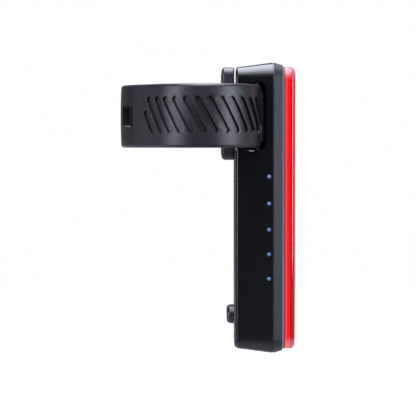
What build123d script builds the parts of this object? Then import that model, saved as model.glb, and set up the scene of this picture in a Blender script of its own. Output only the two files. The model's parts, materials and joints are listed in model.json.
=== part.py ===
from build123d import *
import os
from math import cos, degrees, radians, sin, tan

os.makedirs("parts", exist_ok=True)

# Frame: the origin is on the seat post's axis at half the strap's width.
# X runs from the post to the lens, Z runs up the post, and -Y is the near side.

# Seat post and strap, in millimetres and degrees
post_radius = 16.0
strap_width = 20.0
strap_thickness = 2.4
strap_outer_round = 1.0
strap_inner_round = 0.5
nose_half_angle = 45.0
near_end_corner = 2.2
far_bulge_radius = 10.8
far_bulge_turn = 90.0
tail_bend_radius = 8.4
tail_gap = 0.3
tail_set_in = 1.71
tail_length = 12.5
tail_corner = 3.0

# One square slot on the near half, and a row of them on the far side for the hook
slot_length = 6.8
slot_height = 6.9
slot_corner = 0.6
near_slot_angle = 29.4
spread_hinge_angle = 13.0
slot_pitch = 8.6
mid_slot_count = 3
tail_slot_count = 3
hooked_slot_set_in = 3.59

# Slanted grooves on the near half's outer face
groove_count = 12
groove_pitch = 3.73
first_groove = -17.52
groove_width = 1.1
groove_height = 11.3
groove_slant_angle = 27.8
groove_depth = 0.5
groove_rise = 0.34
short_groove_share = 0.54

# Body: housing, seal, bezel and lens
body_height = 92.9
body_width = 25.0
body_corner = 4.8
body_stand_off = 2.9
body_top_rise = 6.35
housing_depth = 11.5
housing_draft_angle = 7.5
housing_wall = 1.5
housing_back_wall = 1.4
housing_back_round = 0.6
seal_thickness = 0.4
seal_set_in = 0.2
seal_width = 1.2
bezel_side_depth = 2.6
bezel_side_inset = 0.75
bezel_bevel = 0.7
bezel_floor = 1.6
bezel_lip_depth = 0.8
bezel_lip_wall = 0.9
bezel_window_ledge = 1.0
bezel_window_end_ledge = 2.8
lens_depth = 3.5
lens_round = 2.0
lens_wall = 1.5
lens_skirt_depth = 1.5
lens_skirt_wall = 1.1
lens_rim = 1.1

# Strap pockets in the housing's sides, with the anchor pin and the hook
pocket_set_in = 2.3
pocket_length = 7.0
pocket_depth = 6.3
pocket_play = 0.8
pocket_corner = 2.2
pocket_end_gap = 1.37
pocket_wall = 1.2
pocket_chamfer = 0.35
strap_entry_gap = 3.55
anchor_eye_radius = 2.2
anchor_eye_inset = 2.0
anchor_eye_gap = 0.3
anchor_pin_radius = 1.0
anchor_pin_seat = 0.9
hook_lead = -0.37
hook_stem_thickness = 2.6
hook_half_height = 2.7
hook_lip = 1.3
hook_lip_thickness = 1.1
hook_foot_thickness = 1.4
hook_foot_play = 0.7
hook_screw_inset = 2.5
hook_screw_head_radius = 1.6
hook_screw_head_height = 0.9
hook_screw_length = 4.2
hook_boss_depth = 2.4

# Saddle pad and its bracket
pad_stand_off = 0.65
pad_depth = 4.3
pad_width = 17.0
pad_height = 29.6
pad_z = 0.9
pad_corner = 2.4
pad_round = 1.3
bracket_plate_thickness = 1.0
bracket_side_inset = 2.5
bracket_end_inset = 2.8
bracket_neck_side_inset = 1.0
bracket_neck_end_inset = 2.0
bracket_screw_z = 7.0
bracket_screw_head_radius = 1.8
bracket_screw_head_height = 1.0
bracket_screw_length = 5.2
bracket_boss_radius = 2.0
bracket_boss_depth = 3.6

# Case screws
case_screw_side_inset = 5.5
case_screw_top_inset = 4.25
case_screw_bottom_inset = 5.25
case_screw_radius = 0.95
case_screw_head_radius = 1.85
case_screw_head_height = 1.3
case_screw_length = 11.6
case_column_radius = 2.3
bezel_boss_depth = 3.3

# Back cover, charging port and mode button
cover_thickness = 0.6
cover_neck_gap = 0.2
cover_set_in = 0.35
cover_corner = 2.8
cover_round = 0.45
button_rise = 11.85
button_width = 9.6
button_height = 5.86
button_stand_off = 3.05
button_round = 1.4
button_flange = 1.1
button_flange_thickness = 0.7
button_travel = 0.5
button_stem_radius = 1.2
port_rise = 10.7
port_shell_width = 8.94
port_shell_height = 3.26
port_shell_wall = 0.32
port_shell_set_in = 0.5
port_tongue_width = 6.7
port_tongue_thickness = 0.7
port_tongue_set_in = 1.0
flap_width = 13.6
flap_height = 6.6
flap_corner = 1.2
flap_plug_play = 0.25
flap_plug_length = 1.15
flap_foot_height = 1.5
flap_foot_corner = 0.6
flap_peg_radius = 0.8

# Boards, battery and light source
board_thickness = 1.0
board_set_back = 3.0
board_side_gap = 4.0
board_drop = 3.2
board_rise = 9.25
board_post_radius = 1.7
board_post_top_inset = 1.9
board_post_low_inset = 7.9
board_post_side_inset = 1.8
board_screw_radius = 0.6
board_screw_head_radius = 1.3
board_screw_head_height = 0.6
board_screw_length = 3.6
switch_size = 6.0
switch_height = 3.4
switch_chamfer = 0.3
plunger_radius = 1.7
plunger_length = 1.7
plunger_bore_depth = 1.3
controller_size = 6.0
power_chip_width = 4.0
power_chip_height = 5.0
power_chip_count = 2
chip_thickness = 1.0
chip_drop = 8.0
battery_pad_thickness = 0.5
battery_thickness = 5.2
battery_drop = 4.6
battery_port_gap = 2.57
battery_round = 1.2
battery_tab_width = 3.0
battery_tab_thickness = 0.2
battery_tab_y = 4.0
led_board_play = 0.65
led_board_end_inset = 8.65
led_board_thickness = 0.8
led_count = 12
led_end_inset = 4.8
led_size = 2.8
led_height = 0.7
reflector_thickness = 1.5
reflector_cup_side_inset = 2.7
reflector_rib = 1.2
reflector_cup_angle = 18.0
diffuser_thickness = 1.2
diffuser_side_inset = 0.4
diffuser_end_inset = 0.3
diffuser_round = 0.5
link_pin_count = 4
link_pin_pitch = 2.54
link_pin_radius = 0.3
link_pin_rise = 11.5
indicator_set_back = 1.15
indicator_drop = 8.3
indicator_top_step = 8.6
indicator_next_step = 8.3
indicator_low_step = 7.8
indicator_low_steps = 2
indicator_pin_radius = 0.7
indicator_bar_thickness = 1.2
indicator_bar_depth = 1.1
indicator_led_width = 1.2
indicator_led_length = 1.6

# Fits
slip = 0.1
pin_fit = 0.02
running_fit = 0.05
skin_gap = 0.25
touch = 0.01

# Places along X, from the post to the lens
housing_back = post_radius + body_stand_off
inner_back = housing_back + housing_back_wall
parting = housing_back + housing_depth
bezel_back = parting + seal_thickness
bezel_front = bezel_back + bezel_side_depth + bezel_bevel
bezel_inset = bezel_side_inset + bezel_bevel
led_board_back = bezel_back + bezel_floor
led_board_front = led_board_back + led_board_thickness
diffuser_back = led_board_front + reflector_thickness + slip
pocket_back = housing_back + pocket_set_in
pocket_front = pocket_back + pocket_length
strap_entry = pocket_back + strap_entry_gap
pad_back = housing_back - pad_stand_off
pad_reach = pad_back - pad_depth
cover_back = housing_back - cover_thickness
main_board_back = parting - board_set_back
main_board_front = main_board_back + board_thickness
switch_back = main_board_back - switch_height
battery_back = inner_back + battery_pad_thickness
port_shell_back = housing_back + port_shell_set_in
port_tongue_back = port_shell_back + port_tongue_set_in
flap_front = housing_back - running_fit
flap_back = cover_back
flap_hinge_radius = (flap_front - flap_back) / 2
flap_hinge_x = (flap_front + flap_back) / 2
button_reach = housing_back - button_stand_off
indicator_x = parting - indicator_set_back

# Heights, from the strap's middle down to the body's bottom
pocket_half_height = strap_width / 2 + pocket_play
anchor_eye_half_height = strap_width / 2 - anchor_eye_inset
hook_foot_half_height = pocket_half_height - hook_foot_play
hook_screw_z = hook_foot_half_height - hook_screw_inset
body_top = pocket_half_height + body_top_rise
body_bottom = body_top - body_height
body_z = (body_top + body_bottom) / 2
case_screw_top = body_top - case_screw_top_inset
case_screw_bottom = body_bottom + case_screw_bottom_inset
button_z = body_bottom + button_rise
port_z = button_z + port_rise
flap_hinge_z = port_z + flap_height / 2
main_board_top = -pocket_half_height - board_drop
main_board_bottom = body_bottom + board_rise
link_pin_z = main_board_bottom + link_pin_rise
battery_top = main_board_top - battery_drop
battery_bottom = port_z + port_shell_height / 2 + battery_port_gap
indicator_top = -pocket_half_height - indicator_drop
indicator_third = indicator_top - indicator_top_step - indicator_next_step
indicator_zs = [indicator_top, indicator_top - indicator_top_step, indicator_third]
indicator_zs += [indicator_third - count * indicator_low_step for count in range(1, indicator_low_steps + 1)]

# Widths and outlines that follow the body's
bracket_plate_width = pad_width - 2 * bracket_side_inset
bracket_plate_height = pad_height - 2 * bracket_end_inset
bracket_neck_width = bracket_plate_width - 2 * bracket_neck_side_inset
bracket_neck_height = bracket_plate_height - 2 * bracket_neck_end_inset
back_width = body_width - 2 * housing_depth * tan(radians(housing_draft_angle))
cover_bottom = body_bottom + (body_width - back_width) / 2 + cover_set_in
cover_top = pad_z - bracket_neck_height / 2 - cover_neck_gap
lens_width = body_width - 2 * bezel_inset
lens_height = body_height - 2 * bezel_inset
lens_corner = body_corner - bezel_inset
skirt_width = lens_width - 2 * lens_rim
skirt_height = lens_height - 2 * lens_rim
skirt_corner = lens_corner - lens_rim / 2
led_board_width = skirt_width - 2 * lens_skirt_wall - 2 * led_board_play
led_board_height = body_height - 2 * led_board_end_inset
led_pitch = (led_board_height - 2 * led_end_inset) / (led_count - 1)
main_board_width = body_width - 2 * board_side_gap
main_board_height = main_board_top - main_board_bottom
main_board_z = (main_board_top + main_board_bottom) / 2
battery_width = main_board_width
battery_height = battery_top - battery_bottom
battery_z = (battery_top + battery_bottom) / 2
hook_foot_length = pocket_length - 2 * hook_foot_play

# Places of posts and screws, as (y, z)
post_low_y = main_board_width / 2 - board_post_side_inset
post_low_z = main_board_bottom + board_post_low_inset
post_top_z = main_board_top - board_post_top_inset
board_posts = [(0, post_top_z), (-post_low_y, post_low_z), (post_low_y, post_low_z)]
case_screw_y = body_width / 2 - case_screw_side_inset
case_screws_top = [(0, case_screw_top)]
case_screws_bottom = [(side * case_screw_y, case_screw_bottom) for side in (-1, 1)]
bracket_screw_places = [(0, pad_z + bracket_screw_z), (0, pad_z - bracket_screw_z)]

# The strap's straight runs: the near one ends in its pocket, the far ones end beside the body
nose_turn = radians(nose_half_angle)
pocket_floor = body_width / 2 - pocket_depth
near_end_y = -pocket_floor - pocket_end_gap
near_bulge_radius = post_radius + strap_entry * cos(nose_turn) + near_end_y * sin(nose_turn)
near_bulge_radius = near_bulge_radius / (1 + cos(nose_turn))
near_flank = (near_bulge_radius - post_radius) * tan(nose_turn) - near_end_y / cos(nose_turn)
anchor_y = -pocket_floor - anchor_eye_radius - anchor_eye_gap
slope_angle = far_bulge_turn + nose_half_angle - 90
slope_turn = radians(slope_angle)
far_climb = body_width / 2 + tail_gap - post_radius * sin(nose_turn)
far_climb += far_bulge_radius * (sin(nose_turn) - cos(slope_turn))
far_climb += tail_bend_radius * (1 - cos(slope_turn))
tail_x = pocket_back + tail_set_in
far_reach = tail_x + post_radius * cos(nose_turn) - tail_bend_radius * sin(slope_turn)
far_reach -= far_bulge_radius * (cos(nose_turn) + sin(slope_turn))
far_flank = (far_climb * cos(slope_turn) + far_reach * sin(slope_turn)) / cos(nose_turn - slope_turn)
far_slope = (far_reach * cos(nose_turn) - far_climb * sin(nose_turn)) / cos(nose_turn - slope_turn)

# Where the strap's slots and hinge lines fall along its middle
middle = strap_thickness / 2
middle_nose_radius = post_radius + middle
anchor_x = strap_entry + middle
near_slot_place = radians(near_slot_angle) * middle_nose_radius
spread_hinge_place = radians(spread_hinge_angle) * middle_nose_radius
far_nose_length = nose_turn * middle_nose_radius
far_bulge_length = radians(far_bulge_turn) * (far_bulge_radius + middle)
tail_bend_length = slope_turn * (tail_bend_radius - middle)
tail_place = far_nose_length + far_flank + far_bulge_length + far_slope + tail_bend_length
first_slot = tail_place + hooked_slot_set_in - (mid_slot_count + tail_slot_count - 1) * slot_pitch
peel_hinge_place = first_slot + (mid_slot_count - 0.5) * slot_pitch
peel_hinge_turn = degrees((peel_hinge_place - far_nose_length - far_flank) / (far_bulge_radius + middle))


def across(x, y=0.0, z=0.0):
    """A plane that faces the lens, with its own x along Y and its own y along Z."""
    return Plane(origin=(x, y, z), x_dir=(0, 1, 0), z_dir=(1, 0, 0))


def outline(x, width, height, corner, z=body_z):
    """A rounded rectangle that faces the lens."""
    with BuildSketch(across(x, z=z)) as section:
        RectangleRounded(width, height, corner)
    return section.sketch


def housing_outline(x, inset=0.0):
    """The housing's outline at one depth, drawn in by the draft of its sides."""
    shrink = (parting - x) * tan(radians(housing_draft_angle)) + inset
    return outline(x, body_width - 2 * shrink, body_height - 2 * shrink, body_corner - shrink)


def dots(x, centres, radius):
    """Round sections that face the lens, at a list of (y, z) centres."""
    with BuildSketch(across(x)) as section:
        with Locations(*centres):
            Circle(radius)
    return section.sketch


def screw(head_back, centres, head_radius, head_height, shank_radius, length):
    """Screws along X, with their heads towards the post and a round socket in each head."""
    with BuildPart() as group:
        extrude(dots(head_back, centres, head_radius), amount=head_height)
        extrude(dots(head_back + head_height, centres, shank_radius), amount=length)
        extrude(dots(head_back, centres, head_radius / 2), amount=head_height / 2, mode=Mode.SUBTRACT)
    return group.part


def on_pocket_rim(edge):
    """Whether an edge is part of a strap pocket's mouth in the housing's side."""
    centre = edge.center()
    along = pocket_back - touch < centre.X < pocket_front + touch
    return along and abs(centre.Z) < pocket_half_height + touch and abs(centre.Y) > back_width / 2


# Rear housing: a drafted tray, open to the lens, with pockets, columns and posts
with BuildPart() as rear_housing:
    loft([housing_outline(housing_back), housing_outline(parting)], ruled=True)
    fillet(rear_housing.faces().sort_by(Axis.X)[0].edges(), housing_back_round)
    loft(
        [housing_outline(inner_back, housing_wall), housing_outline(parting, housing_wall)],
        ruled=True,
        mode=Mode.SUBTRACT,
    )
    pocket_x = (pocket_back + pocket_front) / 2
    for side in (-1, 1):
        tub = Plane(origin=(pocket_x, side * pocket_floor, 0), x_dir=(1, 0, 0), z_dir=(0, side, 0))
        with BuildSketch(tub.offset(-pocket_wall)):
            Rectangle(pocket_length + 2 * pocket_wall, 2 * (pocket_half_height + pocket_wall))
        extrude(amount=back_width / 2 - pocket_floor + pocket_wall - housing_back_round)
        with BuildSketch(tub):
            RectangleRounded(pocket_length, 2 * pocket_half_height, pocket_corner)
        extrude(amount=body_width, mode=Mode.SUBTRACT)
        rim = rear_housing.edges().filter_by(on_pocket_rim)
        chamfer([edge for edge in rim if edge.center().Y * side > 0], pocket_chamfer)
    column_depth = main_board_back - slip - inner_back
    extrude(dots(inner_back, case_screws_top + case_screws_bottom, case_column_radius), amount=column_depth)
    extrude(dots(inner_back, board_posts, board_post_radius), amount=main_board_back - inner_back)
    extrude(dots(inner_back, bracket_screw_places, bracket_boss_radius), amount=bracket_boss_depth)
    extrude(
        dots(housing_back, bracket_screw_places, case_screw_radius + running_fit),
        amount=housing_back_wall + bracket_boss_depth - slip,
        mode=Mode.SUBTRACT,
    )
    extrude(
        dots(housing_back, case_screws_top + case_screws_bottom, case_screw_radius + slip),
        amount=housing_depth,
        mode=Mode.SUBTRACT,
    )
    extrude(
        dots(housing_back, case_screws_top, case_screw_head_radius + slip),
        amount=case_screw_head_height,
        mode=Mode.SUBTRACT,
    )
    extrude(
        dots(housing_back, case_screws_bottom, case_screw_head_radius + slip),
        amount=case_screw_head_height - cover_thickness,
        mode=Mode.SUBTRACT,
    )
    extrude(
        dots(main_board_back, board_posts, board_screw_radius + running_fit),
        amount=-(board_screw_length + slip - board_thickness),
        mode=Mode.SUBTRACT,
    )
    extrude(
        outline(
            housing_back,
            port_shell_width + 2 * slip,
            port_shell_height + 2 * slip,
            port_shell_height / 2,
            port_z,
        ),
        amount=housing_back_wall,
        mode=Mode.SUBTRACT,
    )
    flange_room = 2 * (button_flange + skin_gap)
    with BuildSketch(across(housing_back, z=button_z)):
        SlotOverall(button_width + flange_room, button_height + flange_room)
    extrude(amount=housing_back_wall, mode=Mode.SUBTRACT)
    flap_foot_z = flap_hinge_z + flap_hinge_radius + slip + flap_foot_height / 2
    flap_peg_places = [(side * flap_width / 3, flap_foot_z) for side in (-1, 1)]
    extrude(
        dots(housing_back, flap_peg_places, flap_peg_radius + running_fit),
        amount=housing_back_wall,
        mode=Mode.SUBTRACT,
    )
    near_face = Plane.XZ.offset(body_width / 2 - housing_wall - 2 * skin_gap)
    with BuildSketch(near_face):
        with Locations(*[(indicator_x, z) for z in indicator_zs]):
            Circle(indicator_pin_radius + pin_fit)
    extrude(amount=body_width, mode=Mode.SUBTRACT)
    with BuildSketch(Plane.XY):
        with Locations((anchor_x, anchor_y)):
            Circle(anchor_pin_radius + pin_fit)
    extrude(amount=pocket_half_height + anchor_pin_seat, both=True, mode=Mode.SUBTRACT)
    hook_boss = Plane(origin=(pocket_x, pocket_floor - pocket_wall, 0), x_dir=(1, 0, 0), z_dir=(0, -1, 0))
    for radius, depth, mode in (
        (board_post_radius, hook_boss_depth, Mode.ADD),
        (board_screw_radius + running_fit, hook_boss_depth - slip, Mode.SUBTRACT),
    ):
        with BuildSketch(hook_boss):
            with Locations((0, hook_screw_z), (0, -hook_screw_z)):
                Circle(radius)
        extrude(amount=depth, mode=mode)
    with BuildSketch(hook_boss):
        with Locations((0, hook_screw_z), (0, -hook_screw_z)):
            Circle(board_screw_radius + running_fit)
    extrude(amount=-pocket_wall, mode=Mode.SUBTRACT)
rear_housing.part.label = "rear_housing"
export_step(rear_housing.part, "parts/rear_housing.step")

# Front bezel: bevelled ring, floor with a window, locating lip and screw bosses
with BuildPart() as front_bezel:
    side_end = bezel_back + bezel_side_depth
    rims = [
        outline(x, body_width - 2 * inset, body_height - 2 * inset, body_corner - inset)
        for x, inset in ((bezel_back, 0), (side_end, bezel_side_inset), (bezel_front, bezel_inset))
    ]
    loft(rims[:2], ruled=True)
    loft(rims[1:], ruled=True)
    extrude(
        outline(
            led_board_back,
            skirt_width + 2 * slip,
            skirt_height + 2 * slip,
            skirt_corner + slip,
        ),
        amount=body_width,
        mode=Mode.SUBTRACT,
    )
    window_width = led_board_width - 2 * bezel_window_ledge
    window_height = led_board_height - 2 * bezel_window_end_ledge
    extrude(
        outline(bezel_back, window_width, window_height, body_corner),
        amount=bezel_floor,
        mode=Mode.SUBTRACT,
    )
    lip_inset = housing_wall + slip
    lip_width = body_width - 2 * lip_inset
    lip_height = body_height - 2 * lip_inset
    lip_corner = body_corner - lip_inset
    lip_back = bezel_back - bezel_lip_depth
    extrude(outline(lip_back, lip_width, lip_height, lip_corner), amount=bezel_lip_depth)
    extrude(
        outline(
            lip_back,
            lip_width - 2 * bezel_lip_wall,
            lip_height - 2 * bezel_lip_wall,
            lip_corner - bezel_lip_wall,
        ),
        amount=bezel_lip_depth,
        mode=Mode.SUBTRACT,
    )
    boss_back = bezel_back - bezel_boss_depth
    boss_places = case_screws_top + case_screws_bottom
    extrude(dots(boss_back, boss_places, case_column_radius), amount=bezel_boss_depth)
    extrude(
        dots(boss_back, boss_places, case_screw_radius + running_fit),
        amount=bezel_boss_depth + bezel_floor,
        mode=Mode.SUBTRACT,
    )
front_bezel.part.label = "front_bezel"
export_step(front_bezel.part, "parts/front_bezel.step")

# Seal: a flat ring between housing and bezel, set in from the outer faces
with BuildPart() as housing_seal:
    seal_inset = seal_set_in + seal_width
    extrude(
        outline(
            parting,
            body_width - 2 * seal_set_in,
            body_height - 2 * seal_set_in,
            body_corner - seal_set_in,
        ),
        amount=seal_thickness,
    )
    extrude(
        outline(
            parting,
            body_width - 2 * seal_inset,
            body_height - 2 * seal_inset,
            body_corner - seal_inset,
        ),
        amount=seal_thickness,
        mode=Mode.SUBTRACT,
    )
housing_seal.part.label = "housing_seal"
export_step(housing_seal.part, "parts/housing_seal.step")

# Lens: a rounded cap on the bezel's front edge, with a skirt that plugs into the bezel
with BuildPart() as front_lens:
    extrude(outline(bezel_front, lens_width, lens_height, lens_corner), amount=lens_depth)
    fillet(front_lens.faces().sort_by(Axis.X)[-1].edges(), lens_round)
    skirt_back = bezel_front - lens_skirt_depth
    extrude(outline(skirt_back, skirt_width, skirt_height, skirt_corner), amount=lens_skirt_depth)
    hollow_width = skirt_width - 2 * lens_skirt_wall
    hollow_height = skirt_height - 2 * lens_skirt_wall
    extrude(
        outline(skirt_back, hollow_width, hollow_height, skirt_corner - lens_skirt_wall / 2),
        amount=lens_skirt_depth + lens_depth - lens_wall,
        mode=Mode.SUBTRACT,
    )
front_lens.part.label = "front_lens"
export_step(front_lens.part, "parts/front_lens.step")

# Back cover: a thin plate on the lower back, cut for the port, the button and two screws
with BuildPart() as back_cover:
    cover_height = cover_top - cover_bottom
    cover_z = (cover_top + cover_bottom) / 2
    extrude(
        outline(cover_back, back_width - 2 * cover_set_in, cover_height, cover_corner, cover_z),
        amount=cover_thickness,
    )
    fillet(back_cover.faces().sort_by(Axis.X)[0].edges(), cover_round)
    opening_top = flap_hinge_z + flap_hinge_radius + flap_foot_height + 2 * slip
    opening_bottom = port_z - flap_height / 2 - skin_gap
    extrude(
        outline(
            cover_back,
            flap_width + 2 * skin_gap,
            opening_top - opening_bottom,
            flap_foot_corner,
            (opening_top + opening_bottom) / 2,
        ),
        amount=cover_thickness,
        mode=Mode.SUBTRACT,
    )
    with BuildSketch(across(cover_back, z=button_z)):
        SlotOverall(button_width + 2 * skin_gap, button_height + 2 * skin_gap)
    extrude(amount=cover_thickness, mode=Mode.SUBTRACT)
    extrude(
        dots(cover_back, case_screws_bottom, case_screw_head_radius + slip),
        amount=cover_thickness,
        mode=Mode.SUBTRACT,
    )
back_cover.part.label = "back_cover"
export_step(back_cover.part, "parts/back_cover.step")

# Port flap: a plate with a round hinge edge and a plug for the socket's mouth
with BuildPart() as port_flap:
    flap_bottom = port_z - flap_height / 2
    plate_height = flap_hinge_z - flap_bottom
    plug_width = port_shell_width - 2 * port_shell_wall - 2 * flap_plug_play
    plug_height = port_shell_height - 2 * port_shell_wall - 2 * flap_plug_play
    extrude(
        outline(flap_back, flap_width, plate_height, flap_corner, (flap_hinge_z + flap_bottom) / 2),
        amount=flap_front - flap_back,
    )
    with BuildSketch(Plane.XZ.offset(-flap_width / 2 + flap_corner)):
        with Locations((flap_hinge_x, flap_hinge_z)):
            Circle(flap_hinge_radius)
    extrude(amount=flap_width - 2 * flap_corner)
    with BuildSketch(across(flap_back, z=flap_hinge_z)):
        Rectangle(flap_width, 2 * flap_corner)
    extrude(amount=flap_front - flap_back, mode=Mode.SUBTRACT)
    with BuildSketch(Plane.XZ.offset(-flap_width / 2)):
        with Locations((flap_hinge_x, flap_hinge_z)):
            Circle(flap_hinge_radius)
        with Locations((flap_hinge_x, flap_hinge_z - flap_corner / 2)):
            Rectangle(2 * flap_hinge_radius, flap_corner)
    extrude(amount=flap_width)
    extrude(
        outline(flap_front, plug_width, plug_height, plug_height / 2 - touch, port_z),
        amount=flap_plug_length,
    )
port_flap.part.label = "port_flap"
export_step(port_flap.part, "parts/port_flap.step")

# Flap foot: the fixed end of the flap's strip, with two pegs through the housing
with BuildPart() as port_flap_foot:
    with BuildSketch(across(flap_back, z=flap_foot_z)):
        RectangleRounded(flap_width, flap_foot_height, flap_foot_corner)
    extrude(amount=flap_front - flap_back)
    extrude(dots(flap_front, flap_peg_places, flap_peg_radius), amount=housing_back_wall)
port_flap_foot.part.label = "port_flap_foot"
export_step(port_flap_foot.part, "parts/port_flap_foot.step")

# Mode button: a rubber cap with a flange behind the cover and a stem to the switch
with BuildPart() as mode_button:
    with BuildSketch(across(button_reach, z=button_z)):
        SlotOverall(button_width, button_height)
    extrude(amount=housing_back + slip - button_reach)
    fillet(mode_button.faces().sort_by(Axis.X)[0].edges(), button_round)
    with BuildSketch(across(housing_back + slip, z=button_z)):
        SlotOverall(button_width + 2 * button_flange, button_height + 2 * button_flange)
    extrude(amount=button_flange_thickness)
    stem_back = housing_back + slip + button_flange_thickness
    stem_front = switch_back + plunger_bore_depth - button_travel - slip - plunger_length
    extrude(dots(stem_back, [(0, button_z)], button_stem_radius), amount=stem_front - stem_back)
mode_button.part.label = "mode_button"
export_step(mode_button.part, "parts/mode_button.step")

# Switch plunger and its switch
with BuildPart() as switch_plunger:
    extrude(dots(stem_front, [(0, button_z)], plunger_radius), amount=plunger_length)
switch_plunger.part.label = "switch_plunger"
export_step(switch_plunger.part, "parts/switch_plunger.step")

with BuildPart() as tact_switch:
    with BuildSketch(across(switch_back, z=button_z)):
        Rectangle(switch_size, switch_size)
    extrude(amount=main_board_back - switch_back)
    chamfer(tact_switch.faces().sort_by(Axis.X)[0].edges(), switch_chamfer)
    extrude(
        dots(switch_back, [(0, button_z)], plunger_radius + running_fit),
        amount=plunger_bore_depth,
        mode=Mode.SUBTRACT,
    )
tact_switch.part.label = "tact_switch"
export_step(tact_switch.part, "parts/tact_switch.step")

# Charging socket: a steel shell with a tongue inside
with BuildPart() as usb_socket:
    shell_corner = port_shell_height / 2 - touch
    mouth_width = port_shell_width - 2 * port_shell_wall
    mouth_height = port_shell_height - 2 * port_shell_wall
    extrude(
        outline(port_shell_back, port_shell_width, port_shell_height, shell_corner, port_z),
        amount=main_board_back - port_shell_back,
    )
    extrude(
        outline(port_shell_back, mouth_width, mouth_height, mouth_height / 2 - touch, port_z),
        amount=main_board_back - port_shell_back - board_thickness,
        mode=Mode.SUBTRACT,
    )
    with BuildSketch(across(port_tongue_back, z=port_z)):
        Rectangle(port_tongue_width, port_tongue_thickness)
    extrude(amount=main_board_back - board_thickness - port_tongue_back)
usb_socket.part.label = "usb_socket"
export_step(usb_socket.part, "parts/usb_socket.step")

# Main board on its posts, with chips, indicator lamps and screws
with BuildPart() as main_board:
    extrude(
        outline(main_board_back, main_board_width, main_board_height, board_thickness, main_board_z),
        amount=board_thickness,
    )
    extrude(
        dots(main_board_back, board_posts, board_screw_radius + slip),
        amount=board_thickness,
        mode=Mode.SUBTRACT,
    )
    with BuildSketch(across(main_board_back)):
        with Locations((0, link_pin_z)):
            with GridLocations(link_pin_pitch, 1, link_pin_count, 1):
                Circle(link_pin_radius + slip)
    extrude(amount=board_thickness, mode=Mode.SUBTRACT)
main_board.part.label = "main_board"
export_step(main_board.part, "parts/main_board.step")

with BuildPart() as control_chips:
    controller_z = main_board_top - chip_drop
    chip_pitch = (controller_z - link_pin_z) / (power_chip_count + 1)
    with BuildSketch(across(main_board_front)):
        with Locations((0, controller_z)):
            Rectangle(controller_size, controller_size)
        for count in range(1, power_chip_count + 1):
            with Locations((0, controller_z - count * chip_pitch)):
                Rectangle(power_chip_width, power_chip_height)
    extrude(amount=chip_thickness)
control_chips.part.label = "control_chips"
export_step(control_chips.part, "parts/control_chips.step")

with BuildPart() as board_screws:
    head_front = main_board_front + board_screw_head_height
    extrude(dots(main_board_front, board_posts, board_screw_head_radius), amount=board_screw_head_height)
    extrude(dots(main_board_front, board_posts, board_screw_radius), amount=-board_screw_length)
    extrude(
        dots(head_front, board_posts, board_screw_head_radius / 2),
        amount=-board_screw_head_height / 2,
        mode=Mode.SUBTRACT,
    )
board_screws.part.label = "board_screws"
export_step(board_screws.part, "parts/board_screws.step")

bar_outer = -(body_width / 2 - housing_wall - 2 * skin_gap)
indicator_led_y = bar_outer + indicator_bar_thickness + slip + indicator_led_width / 2
with BuildPart() as indicator_leds:
    with BuildSketch(across(main_board_front)):
        with Locations(*[(indicator_led_y, z) for z in indicator_zs]):
            Rectangle(indicator_led_width, indicator_led_length)
    extrude(amount=indicator_x + indicator_bar_depth / 2 - main_board_front)
indicator_leds.part.label = "indicator_leds"
export_step(indicator_leds.part, "parts/indicator_leds.step")

# Light pipe: one clear bar with five pins that end flush with the housing's side
with BuildPart() as indicator_light_pipe:
    bar_length = indicator_zs[0] - indicator_zs[-1] + 4 * indicator_pin_radius
    bar_z = (indicator_zs[0] + indicator_zs[-1]) / 2
    with BuildSketch(Plane.XZ.offset(-bar_outer - indicator_bar_thickness)):
        with Locations((indicator_x, bar_z)):
            Rectangle(indicator_bar_depth, bar_length)
    extrude(amount=indicator_bar_thickness)
    side_y = body_width / 2 - (parting - indicator_x) * tan(radians(housing_draft_angle))
    with BuildSketch(Plane.XZ.offset(-bar_outer)):
        with Locations(*[(indicator_x, z) for z in indicator_zs]):
            Circle(indicator_pin_radius)
    extrude(amount=side_y + bar_outer)
indicator_light_pipe.part.label = "indicator_light_pipe"
export_step(indicator_light_pipe.part, "parts/indicator_light_pipe.step")

# Battery on its foam pad, with two tabs that bend forward to the board
with BuildPart() as battery_cell:
    with BuildSketch(across(battery_back, z=battery_z)):
        Rectangle(battery_width, battery_height)
    extrude(amount=battery_thickness)
    fillet(battery_cell.edges(), battery_round)
battery_cell.part.label = "battery_cell"
export_step(battery_cell.part, "parts/battery_cell.step")

with BuildPart() as battery_pad:
    with BuildSketch(across(inner_back, z=battery_z)):
        Rectangle(battery_width - 2 * battery_round, battery_height - 2 * battery_round)
    extrude(amount=battery_back - inner_back)
battery_pad.part.label = "battery_pad"
export_step(battery_pad.part, "parts/battery_pad.step")

with BuildPart() as battery_tabs:
    tab_x = battery_back + battery_thickness / 2
    tab_top = battery_bottom
    tab_low = tab_top - battery_round
    for side in (-1, 1):
        with BuildSketch(Plane.XZ.offset(-side * battery_tab_y)):
            with BuildLine():
                corners = [
                    (tab_x, tab_top),
                    (tab_x, tab_low),
                    (main_board_back, tab_low),
                    (main_board_back, tab_low + battery_tab_thickness),
                    (tab_x + battery_tab_thickness, tab_low + battery_tab_thickness),
                    (tab_x + battery_tab_thickness, tab_top),
                ]
                Polyline(*corners, close=True)
            make_face()
        extrude(amount=battery_tab_width / 2, both=True)
battery_tabs.part.label = "battery_tabs"
export_step(battery_tabs.part, "parts/battery_tabs.step")

# Light source: board, emitters, reflector and diffuser behind the lens
with BuildPart() as led_board:
    extrude(
        outline(led_board_back, led_board_width, led_board_height, board_thickness),
        amount=led_board_thickness,
    )
    with BuildSketch(across(led_board_back)):
        with Locations((0, link_pin_z)):
            with GridLocations(link_pin_pitch, 1, link_pin_count, 1):
                Circle(link_pin_radius + slip)
    extrude(amount=led_board_thickness, mode=Mode.SUBTRACT)
led_board.part.label = "led_board"
export_step(led_board.part, "parts/led_board.step")

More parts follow.
